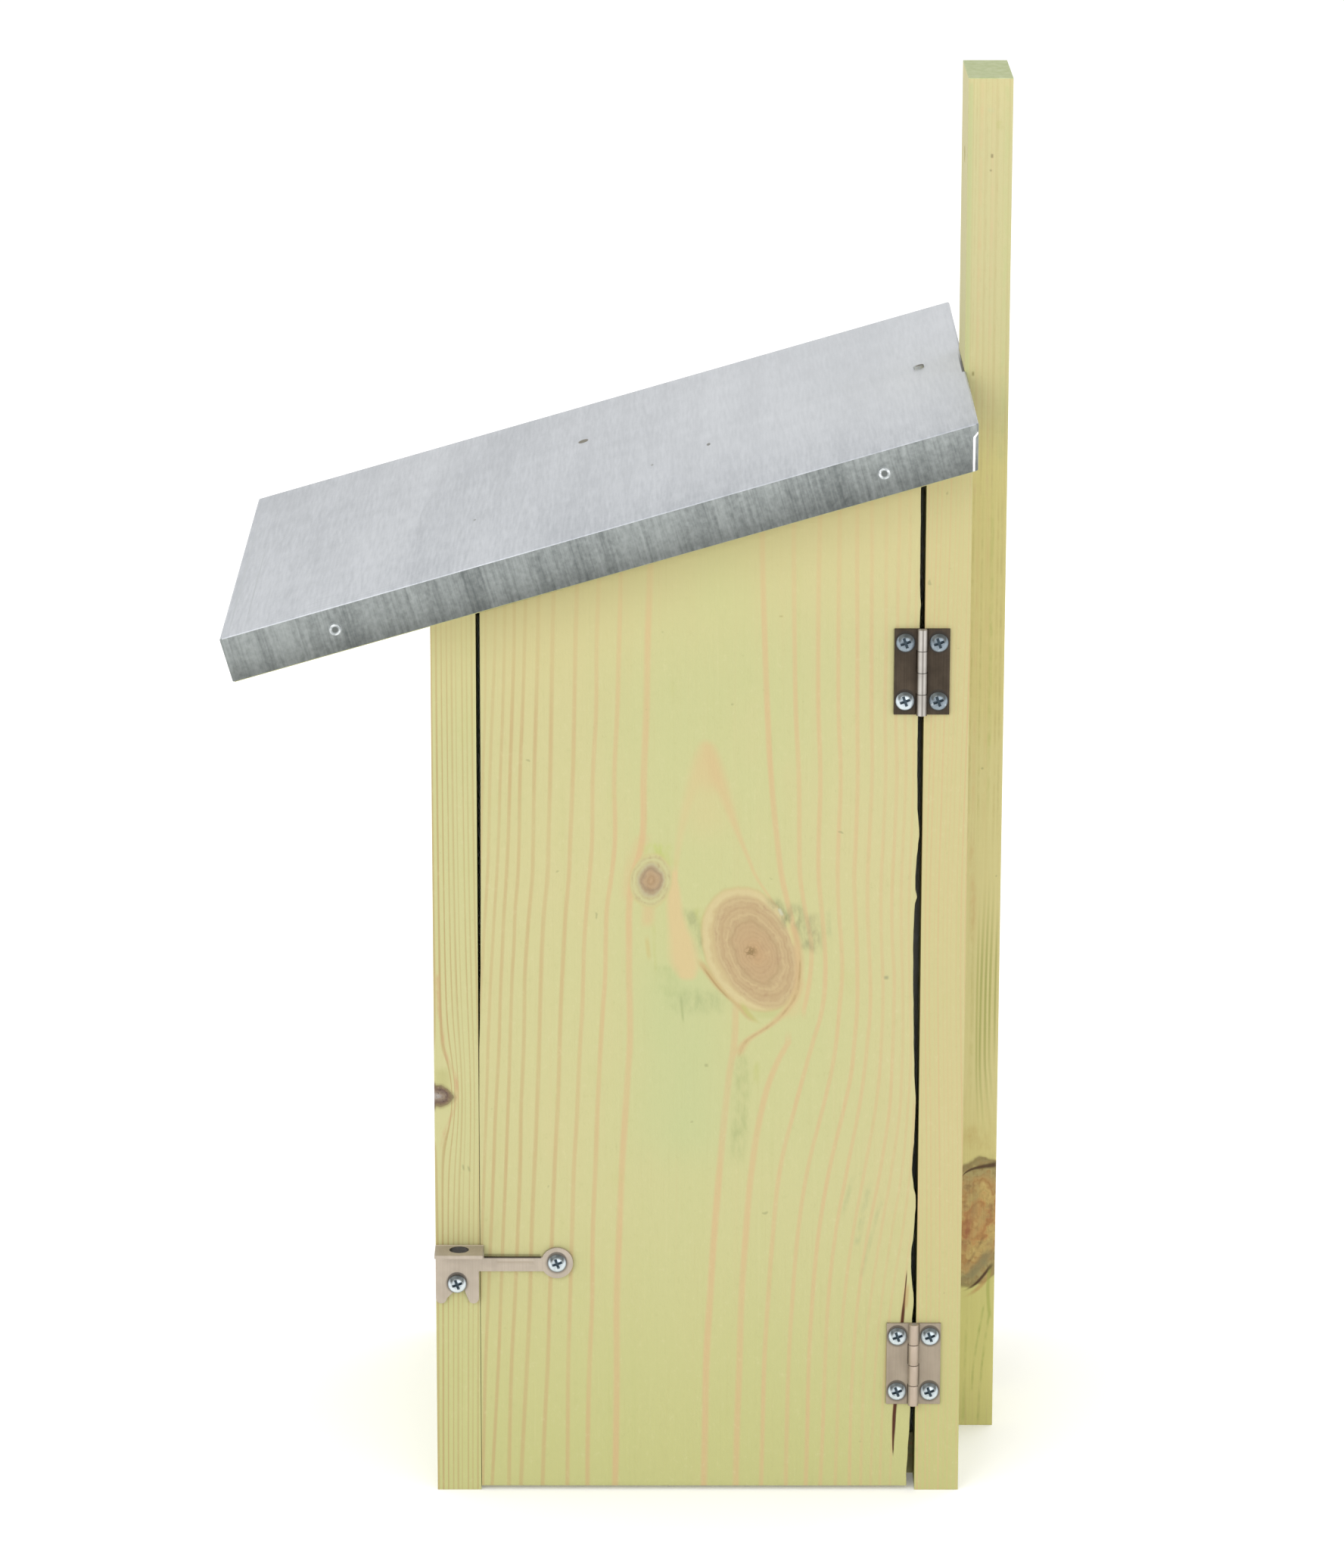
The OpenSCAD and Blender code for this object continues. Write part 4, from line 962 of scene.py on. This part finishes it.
BATTEN_KNOT = Knot(at=(84.6, 65.5), size=(13.0, 20.6), turn=-13, reach=15, long=0.55, rings=6, uneven=0.08,
                   warp=1.1, ring_tone=0.5, ring_colour=(166, 124, 76), mottle=0.9, dark=(140, 104, 70),
                   light=(226, 204, 138), rim=(126, 102, 66), rim_width=0.05,
                   layers=[(0, (214, 178, 116)), (0.3, (204, 152, 96)), (0.42, (226, 202, 130)),
                           (0.6, (202, 160, 102)), (0.78, (196, 178, 122)), (0.9, (176, 164, 112)),
                           (1.1, (160, 142, 98))])
BATTEN_MARKS = [
    # The first three washes are painted light, partly with a yellow-green tint, lifting the side that stands
    # in the box's shade
    wash(318, 0, (240, 228, 152), 0.6, fade=20.0),
    wash(90, 0, (222, 220, 138), 0.5, fade=30.0),
    wash(235, 85, (244, 238, 190), 0.25, fade=30.0),
    wash(416, 325, (196, 196, 150), 0.2, fade=20.0),
    *fine_lines((415, 350, 290), [
        (0.25, 0.5, (202, 186, 134), (80.1, 79.8, 79.6)),
        (0.25, 0.5, (204, 188, 136), (83.2, 83.0, 82.8)),
        (0.25, 0.5, (204, 188, 134), (86.3, 86.2, 86.0))], soft=0.8),
    *fine_lines((415, 350, 290), [
        (0.45, 0.5, (224, 194, 146), (81.6, 81.3, 81.0)),
        (0.4, 0.5, (224, 196, 150), (84.9, 84.8, 84.6))]),
    *fine_lines((300, 240, 180), [
        (0.3, 0.55, (196, 184, 116), (80.9, 80.7, 80.6)),
        (0.45, 0.55, (232, 204, 146), (82.2, 82.0, 81.8)),
        (0.3, 0.55, (198, 190, 118), (83.6, 83.4, 83.6)),
        (0.5, 0.5, (228, 204, 144), (85.0, 85.2, 85.0)),
        (0.3, 0.55, (204, 188, 122), (88.0, 88.1, 88.0)),
        (0.3, 0.55, (202, 190, 126), (89.1, 89.2, 89.2))], fade=20.0),
    Mark([(415, 78.2), (350, 78.2), (300, 78.0)], 0.7, (196, 204, 144), 0.6, soft=0.9),
    faint([(415, 89.0), (350, 89.0), (300, 88.8)], 1.0, (204, 208, 146), 0.6),
    faint([(332, 80.0), (318, 80.4), (305, 80.6)], 0.5, (178, 172, 104), 0.5),
    Mark([(329, 80.0), (327, 80.0)], 0.35, (150, 140, 82), 0.7, fade=0.8),
    faint([(172, 81.8), (120, 82.4), (98, 82.0)], 0.5, (198, 194, 116), 0.5, fade=20.0),
    Mark([(172, 84.4), (120, 84.0), (105, 84.4), (97, 85.0), (91, 86.2)], 0.3, (188, 188, 110), 0.65,
         soft=0.9, fade=30.0),
    Mark([(178, 86.0), (165, 85.6), (120, 85.0), (112, 85.2), (105, 85.7), (97, 86.5), (92, 87.5),
         (88, 88.7)], 0.34, (178, 182, 102), 0.75, soft=0.9, fade=38.0),
    Mark([(180, 87.4), (120, 86.5), (112, 86.9), (105, 87.5), (97, 88.4), (91, 89.7)], 0.34, (174, 178, 98),
         0.75, soft=0.9, fade=40.0),
    Mark([(180, 88.8), (120, 87.8), (112, 88.3), (105, 89.0), (97, 90.1)], 0.34, (178, 180, 100), 0.75,
         soft=0.9, fade=40.0),
    Mark([(170, 89.8), (120, 89.4), (110, 90.2)], 0.3, (176, 176, 100), 0.7, soft=0.9, fade=25.0),
    faint([(300, 86.2), (240, 86.4), (190, 86.2)], 0.5, (192, 198, 116), 0.6, fade=20.0),
    faint([(190, 81.0), (176, 82.0), (160, 82.4), (150, 81.6)], 0.9, (222, 184, 128), 0.55, fade=10.0),
    faint([(98, 80), (95, 82.5), (90, 86), (86, 89)], 4.0, (206, 178, 112), 0.65, fade=4.0),
    faint([(79, 80), (82, 83), (86, 85.5), (90.4, 86)], 1.6, (166, 154, 92), 0.6, flat=True, fade=1.0),
    faint([(40, 87.6), (30, 86.0), (20, 84.6), (10, 84)], 0.35, (178, 186, 104), 0.7),
    faint([(38, 89.4), (28, 88.0), (15, 86.8), (0, 86)], 0.35, (178, 186, 104), 0.7),
    faint([(36, 82.6), (25, 82.0), (0, 81.6)], 0.4, (184, 190, 108), 0.6),
    Mark([(403, 86.3), (399.5, 87.0)], 0.9, LIME, 0.7, fade=1.0, patchy=True),
    Mark([(406.5, 84.0), (404.5, 84.2)], 0.8, (190, 206, 158), 0.7, fade=0.8, patchy=True),
    Mark([(393, 84.6), (391.5, 84.6)], 0.35, (140, 132, 92), 0.7, fade=0.4),
    Mark([(388.5, 84.3), (387.5, 84.3)], 0.3, (150, 140, 100), 0.6, fade=0.4),
]
BATTEN_OVER = [
    Mark([(80, 80), (83, 82.6), (86, 83.4), (91, 84.2)], [(80, 0.2), (85, 0.5), (91, 0.9)], (84, 58, 40),
         0.9, flat=True, fade=1.0),
    Mark([(72, 82.4), (62, 81.2), (54, 80.8)], 1.9, (166, 98, 74), 0.75, patchy=True),
    Mark([(74, 90.2), (69, 89.6), (64, 88.8)], 1.4, (158, 102, 72), 0.75, patchy=True),
    faint([(62, 90.0), (55, 88.0), (50, 85.0), (46, 81.0)], 1.8, (160, 146, 104), 0.6),
    Mark([(58, 82.0), (63, 84.4), (67, 86.6), (72, 87.6)], 1.0, (210, 188, 124), 0.8, patchy=True),
    Mark([(80, 84.0), (72, 83.4), (66, 82.6)], 1.8, (168, 154, 108), 0.6, patchy=True),
    Mark([(46, 80.0), (48.5, 83.0), (52, 86.0), (58, 89.5)], 1.5, (152, 144, 106), 0.7),
    Mark([(50, 80.0), (53, 82.6), (58, 85.6), (63, 88.0)], 0.5, (116, 84, 60), 0.7, patchy=True),
    Mark([(43, 80.0), (45.2, 84.0), (48.4, 87.0), (53.5, 90.4)], 0.55, (88, 60, 42), 0.95),
    Mark([(41, 80.5), (43.2, 84.2), (46.6, 87.4), (51, 90.2)], 0.8, (206, 168, 108), 0.7),
    Mark([(52, 90.4), (46, 88.6), (40, 88.8), (34, 89.6)], 0.5, (178, 186, 96), 0.6),
]
BATTEN_SIDE = Face("through", ("x", 16.3, 16.8), marks=BATTEN_MARKS, knots=[BATTEN_KNOT], flow=[BATTEN_KNOT],
                   over=BATTEN_OVER)
BATTEN_REAR = Face("across", ("y", 89.8, 90.3),
                   knots=[replace(BATTEN_KNOT, at=(18.5, 68), size=(8, 14.5), turn=6, rim_tone=0.3)])
# Its base and green colours are brighter than the other boards': painted light on a batten in the box's shade
batten_pine = pine("batten_pine", X, Z, Y, (6, REAR_Y / MM + 120), 1.7, 33.0, [BATTEN_SIDE, BATTEN_REAR],
                   lines=0.6, tint=0.35, base=(221, 211, 156), green=(213, 212, 150), band=0.5,
                   foot=(214, 210, 128), streaked=0.4, late_colour=(208, 188, 132), end=BATTEN_TOP)

# The roof's zinc. Its marks are (distance up the slope from the front edge, place across, half size up the
# slope, half size across, colour)
EDGE_NAILS = centres("roof_edge_nails")
SPECK, SCRATCH = (140, 142, 140), (174, 178, 181)
COVER_MARKS = [(106.3, -37.2, 1.6, 2.4, (84, 76, 46)), (145.2, 17.8, 0.6, 1.8, (110, 110, 104)),
               (128.0, 24.0, 0.4, 1.2, SPECK), (74.0, 30.0, 0.4, 1.2, SPECK),
               (2.6, 10, 0.3, 74, SCRATCH), (7.4, 30, 0.25, 50, SCRATCH), (34, 87.6, 30, 0.2, SCRATCH),
               (50, 84.8, 44, 0.18, SCRATCH), (28, 80, 2.6, 0.3, SCRATCH), (31, 77, 3.2, 0.25, SCRATCH)]
zinc_top = zinc("zinc_top", (162, 166, 171), (194, 197, 201), X, 1.0, marks=COVER_MARKS, spangled=0.12)
# The flanges are the same zinc as the top in darker colours: painted shade on the faces that don't face up
zinc_shaded_edge = zinc("zinc_shaded_edge", (90, 95, 94), (146, 151, 149), OFF_SLOPE, 1.15, 0.5, fold=REAR_Y + COVER_T,
                 fine=(190, 0.28))

# The metalwork
HINGE_SCREWS = centres("hinge_frame_screws", "hinge_door_screws")
LATCH_SCREWS = centres("latch_pivot_screw", "latch_keeper_screw")
SCREW_R, SCREW_DOME = 2.7 * MM, 0.8 * MM
# The two hinges are the same nickel: the upper one's dark colours and the lower one's beige ones are painted
# reflections
nickel_dark_reflection = plated("nickel_dark_reflection", (52, 44, 35), (76, 66, 55), 0.55, metallic=0.0, screws=HINGE_SCREWS,
                     barrel=0.95 * MM, barrel_wear_and_highlight=(190, 186, 180), specular=0.1, seam=0.7)
nickel_beige_reflection = plated("nickel_beige_reflection", (136, 124, 108), (154, 142, 125), 0.45, metallic=0.3, screws=HINGE_SCREWS,
                     barrel=0.95 * MM, barrel_wear_and_highlight=(176, 160, 144), specular=0.4)
nickel_latch = plated("nickel_latch", (158, 147, 132), (176, 164, 149), 0.45, metallic=0.25,
                      screws=LATCH_SCREWS,
                      arm={"from": -63.5 * MM, "to": -46.2 * MM, "rib": 72.3 * MM, "top": 73.65 * MM},
                      hole=((high("latch_hook", "x") + FACE_X + 0.3 * MM) / 2, FRONT_Y + 7.1 * MM, 2.75 * MM))
nickel_bright = plated("nickel_bright", (196, 188, 182), (214, 208, 202), 0.3)
screw_zinc = driven("screw_zinc", (200, 210, 215), (116, 132, 142), HINGE_SCREWS + LATCH_SCREWS[:1],
                    high("hinge_door_screws", "x"), dull=200 * MM)
keeper_zinc = driven("keeper_zinc", (206, 214, 218), (112, 126, 136), LATCH_SCREWS[1:],
                     high("latch_keeper_screw", "x"))
plain_zinc = plated("plain_zinc", (176, 184, 188), (204, 210, 212), 0.3, metallic=0.7)
nail_zinc = plated("nail_zinc", (168, 172, 172), (196, 200, 200), 0.35)
# The edge nails' bright ring round the dark middle is a painted highlight
edge_nail_zinc = dimpled("edge_nail_zinc", (206, 210, 211), (86, 90, 88), "yz", EDGE_NAILS, 1.2 * MM)
top_nail_zinc = dimpled("top_nail_zinc", (176, 176, 168), (58, 50, 32), "xy",
                        [(mid("roof_top_nail", "x"), low("roof_top_nail", "y") + 1.9 * MM)], 1.5 * MM)

# Pieces that keep their CAD shape, some with eased edges

for node, material, ease in (("front_board", front_pine, 0.35), ("rear_board", rear_pine, 0.35),
                             ("side_board", side_pine, 0.6), ("floor_board", floor_pine, 0.5),
                             ("roof_board", roof_pine, 0.4), ("wall_batten", batten_pine, 0.5)):
    dress(node, material, ease * MM)
dress("clear_sheet", clear_plastic("clear_sheet_plastic"))
for level, leaf in (("upper", nickel_dark_reflection), ("lower", nickel_beige_reflection)):
    dress(f"{level}_hinge_frame_leaf", leaf, 0.12 * MM)
    dress(f"{level}_hinge_door_leaf", leaf, 0.12 * MM)
    dress(f"{level}_hinge_pin", nickel_bright)
dress("latch_hook", nickel_latch, 0.3 * MM, segments=3)
for node, material in (("hinge_frame_screws", screw_zinc), ("hinge_door_screws", screw_zinc),
                       ("latch_pivot_screw", screw_zinc), ("latch_keeper_screw", keeper_zinc),
                       ("batten_screws", plain_zinc), ("front_nails", nail_zinc), ("rear_nails", nail_zinc),
                       ("side_nails", nail_zinc), ("roof_nails", nail_zinc),
                       ("roof_edge_nails", edge_nail_zinc), ("roof_top_nail", top_nail_zinc)):
    dress(node, material)

# The door, whose long edges were sawn unevenly: (height, place across) in mm, read off the photo
REAR_EDGE = [(0, 62.2), (5, 62.1), (12, 62.5), (20, 62.9), (27, 63.1), (54, 63.3), (58, 63.7), (61, 63.7),
             (65, 63.2), (70, 62.8), (75, 62.8), (80, 63.5), (85, 63.7), (89, 64.0), (93, 63.9), (95, 63.3),
             (100, 62.7), (105, 62.9), (110, 63.3), (122, 63.6), (130, 63.1), (140, 62.8), (150, 62.6),
             (160, 62.4), (170, 62.3), (180, 62.5), (183.4, 62.7), (184.3, 63.4), (185.4, 62.7), (190, 62.7),
             (195, 62.9), (200, 63.4), (203, 63.7), (207, 63.4), (211, 63.0), (225, 62.8), (262, 63.0),
             (270, 63.1), (272, 63.4), (274, 63.0), (310, 62.9)]
FRONT_EDGE_LINE = [(0, -64.42), (120, -64.42), (135, -64.3), (148, -64.0), (165, -63.7), (190, -63.5),
                   (230, -63.3), (310, -63.25)]


def door_top(y):
    """Height of the door's top: the CAD door's highest point is at its rear edge."""
    return DOOR_HEAD - (DOOR_REAR - y) * math.tan(SLOPE)


def edge_at(line, z):
    """The place across of a door edge at a height, eased between its points."""
    h = z / MM
    for (h0, y0), (h1, y1) in zip(line, line[1:]):
        if h <= h1:
            t = max(0.0, (h - h0) / (h1 - h0))
            return (y0 + (y1 - y0) * t * t * (3 - 2 * t)) * MM
    return line[-1][1] * MM


def make_door():
    """A stack of rings from the door's back to its face, each a ladder of rows up both long edges."""
    rows, round_off, shoulder, most_fray = 150, 0.3, 0.09, 0.08
    thick = FACE_X - DOOR_BACK
    rng = random.Random(4)
    fray = [rng.uniform(0.0, most_fray) * MM for _ in range(rows + 1)]
    levels = [(0.0, round_off), (shoulder, shoulder), (round_off, 0.0), (thick / MM - round_off, 0.0),
              (thick / MM - shoulder, shoulder), (thick / MM, round_off)]
    bm = bmesh.new()
    rings = []
    for depth, inset in levels:
        outward, inset = depth * MM / thick, inset * MM
        front, rear = [], []
        for i in range(rows + 1):
            for line, place, sign in ((front, DOOR_FRONT, 1), (rear, DOOR_REAR, -1)):
                z = DOOR_FOOT + inset + (door_top(place) - DOOR_FOOT - 2 * inset) * i / rows
                if sign > 0:
                    y = place + (edge_at(FRONT_EDGE_LINE, z) - place) * outward
                else:
                    y = min(place, edge_at(REAR_EDGE, z))
                    y = y + (edge_at(REAR_EDGE, z) - fray[i] - y) * outward
                line.append(bm.verts.new((DOOR_BACK + depth * MM, y + sign * inset, z)))
        rings.append(front + rear[::-1])
    count = len(rings[0])
    for inner, outer in zip(rings, rings[1:]):
        for i in range(count):
            j = (i + 1) % count
            bm.faces.new((inner[i], inner[j], outer[j], outer[i]))
    for ring in (rings[0], rings[-1]):
        for i in range(rows):
            bm.faces.new((ring[i], ring[i + 1], ring[count - 2 - i], ring[count - 1 - i]))
    keep(bm, "door_panel", door_pine, "door", "pine", ["door"])


def make_cover():
    """A folded sheet with rounded folds, open where the batten passes."""
    edge_low, edge_high = 0.3 * MM, ROOF_T + COVER_T
    front_v = -(OVERHANG + COVER_T)
    side, rear_y = ROOF_SIDE + COVER_T, REAR_Y + COVER_T
    fold_radius, just_inside = 0.8 * MM, 0.05 * MM
    notch_half, notch_front = BATTEN_HALF + 0.8 * MM, REAR_Y - just_inside

    def rear_z(w):
        return under_z(rear_y) + w / math.cos(SLOPE)

    bm = bmesh.new()
    rows = []
    for x in (-side, side):
        rows.append([bm.verts.new(roof_point(x, front_v, edge_low)),
                     bm.verts.new(roof_point(x, front_v, edge_high)),
                     bm.verts.new((x, rear_y, rear_z(edge_high))),
                     bm.verts.new((x, rear_y, rear_z(edge_low)))])
    (a0, a1, a2, a3), (b0, b1, b2, b3) = rows
    for corners in ((a1, b1, b2, a2), (a0, b0, b1, a1), (a2, b2, b3, a3), (a0, a1, a2, a3), (b0, b3, b2, b1)):
        bm.faces.new(corners)
    folds = [e for e in bm.edges if len(e.link_faces) == 2]
    bmesh.ops.bevel(bm, geom=folds, offset=fold_radius, segments=4, affect="EDGES", profile=0.5)
    for place, across in (((-notch_half, 0, 0), X), ((notch_half, 0, 0), X), ((0, notch_front, 0), Y)):
        bmesh.ops.bisect_plane(bm, geom=bm.verts[:] + bm.edges[:] + bm.faces[:],
                               plane_co=place, plane_no=across, dist=1e-7)
    gone = [f for f in bm.faces
            if abs(f.calc_center_median().x) < notch_half and f.calc_center_median().y > notch_front]
    bmesh.ops.delete(bm, geom=gone, context="FACES")
    bmesh.ops.recalc_face_normals(bm, faces=bm.faces)
    if max(bm.faces, key=lambda f: f.calc_area()).normal.z < 0:
        bmesh.ops.reverse_faces(bm, faces=bm.faces)
    piece = keep(bm, "roof_cover_sheet", zinc_top, "box", "zinc_sheet", ["roof_cover"])
    piece.data.materials.append(zinc_shaded_edge)
    # Faces that face up take zinc_top; the rest take the darker copy with painted shade
    up = Vector(OFF_SLOPE)
    for face in piece.data.polygons:
        face.material_index = 0 if face.normal.dot(up) > 0.5 else 1
    solid = piece.modifiers.new("thickness", "SOLIDIFY")
    solid.thickness = COVER_T * 0.9
    solid.offset = -1


# Camera, floor and light

def make_camera():
    """A pinhole fitted to the photograph."""
    place = Vector((1.79538, -0.013624, 0.689571))
    pitch, yaw, roll = 0.266779, -0.0032455, 0.0015426
    focal_px, long_side_px, sensor = 8183.05, 2072, 36.0
    forward = Vector((-math.cos(yaw), -math.sin(yaw), 0))
    right = Vector((-math.sin(yaw), math.cos(yaw), 0))
    up = Vector((0, 0, 1))
    aim = forward * math.cos(pitch) - up * math.sin(pitch)
    top = forward * math.sin(pitch) + up * math.cos(pitch)
    side = right * math.cos(roll) + top * math.sin(roll)
    top = top * math.cos(roll) - right * math.sin(roll)
    data = bpy.data.cameras.new("camera")
    data.sensor_width = sensor
    data.lens = focal_px * sensor / long_side_px
    data.clip_end = 50
    camera = bpy.data.objects.new("camera", data)
    turn = Matrix((side, top, -aim)).transposed().to_4x4()
    camera.matrix_world = Matrix.Translation(place) @ turn
    bpy.context.scene.collection.objects.link(camera)
    bpy.context.scene.camera = camera


def make_stage():
    paint = Paint("floor")
    paint.colour = (250, 250, 250)
    paint.lay((247, 247, 247), paint.noise((paint.x * 2, paint.y * 2, 0.0)).step(-1.0, 1.0))
    plug(paint.shader, {"Emission Color": (1, 1, 1, 1), "Emission Strength": 0.12})
    bm = bmesh.new()
    size, foot = 12.0, cad_low.z - 0.05 * MM
    corners = [(-size, -size), (size, -size), (size, size), (-size, size)]
    bm.faces.new([bm.verts.new((x, y, foot)) for x, y in corners])
    floor = add_object(bm, "floor", paint.finish(0.9))


def make_world():
    world = bpy.data.worlds.new("studio")
    world.use_nodes = True
    plug(world.node_tree.nodes["Background"], {"Color": (1, 1, 1, 1), "Strength": 1.0})
    bpy.context.scene.world = world
    bpy.context.scene.view_settings.view_transform = "Standard"


def area_light(name, place, aim_z, size, power):
    """A square white light that points at a height above the middle of the box's floor."""
    data = bpy.data.lights.new(name, "AREA")
    data.shape = "RECTANGLE"
    data.size = data.size_y = size
    data.energy = power
    light = bpy.data.objects.new(name, data)
    light.location = place
    light.rotation_euler = (Vector((0, 0, aim_z)) - Vector(place)).to_track_quat("-Z", "Y").to_euler()
    bpy.context.scene.collection.objects.link(light)


make_door()
make_cover()
make_camera()
make_stage()
make_world()
area_light("key", (1.9, -1.0, 1.3), 0.2, 1.4, 14.5)
area_light("fill", (2.3, 0.9, 0.5), 0.2, 1.6, 18)
area_light("front", (-0.2, -2.2, 0.9), 0.25, 1.5, 9)
area_light("back", (-1.7, 1.6, 0.6), 0.2, 1.5, 10)
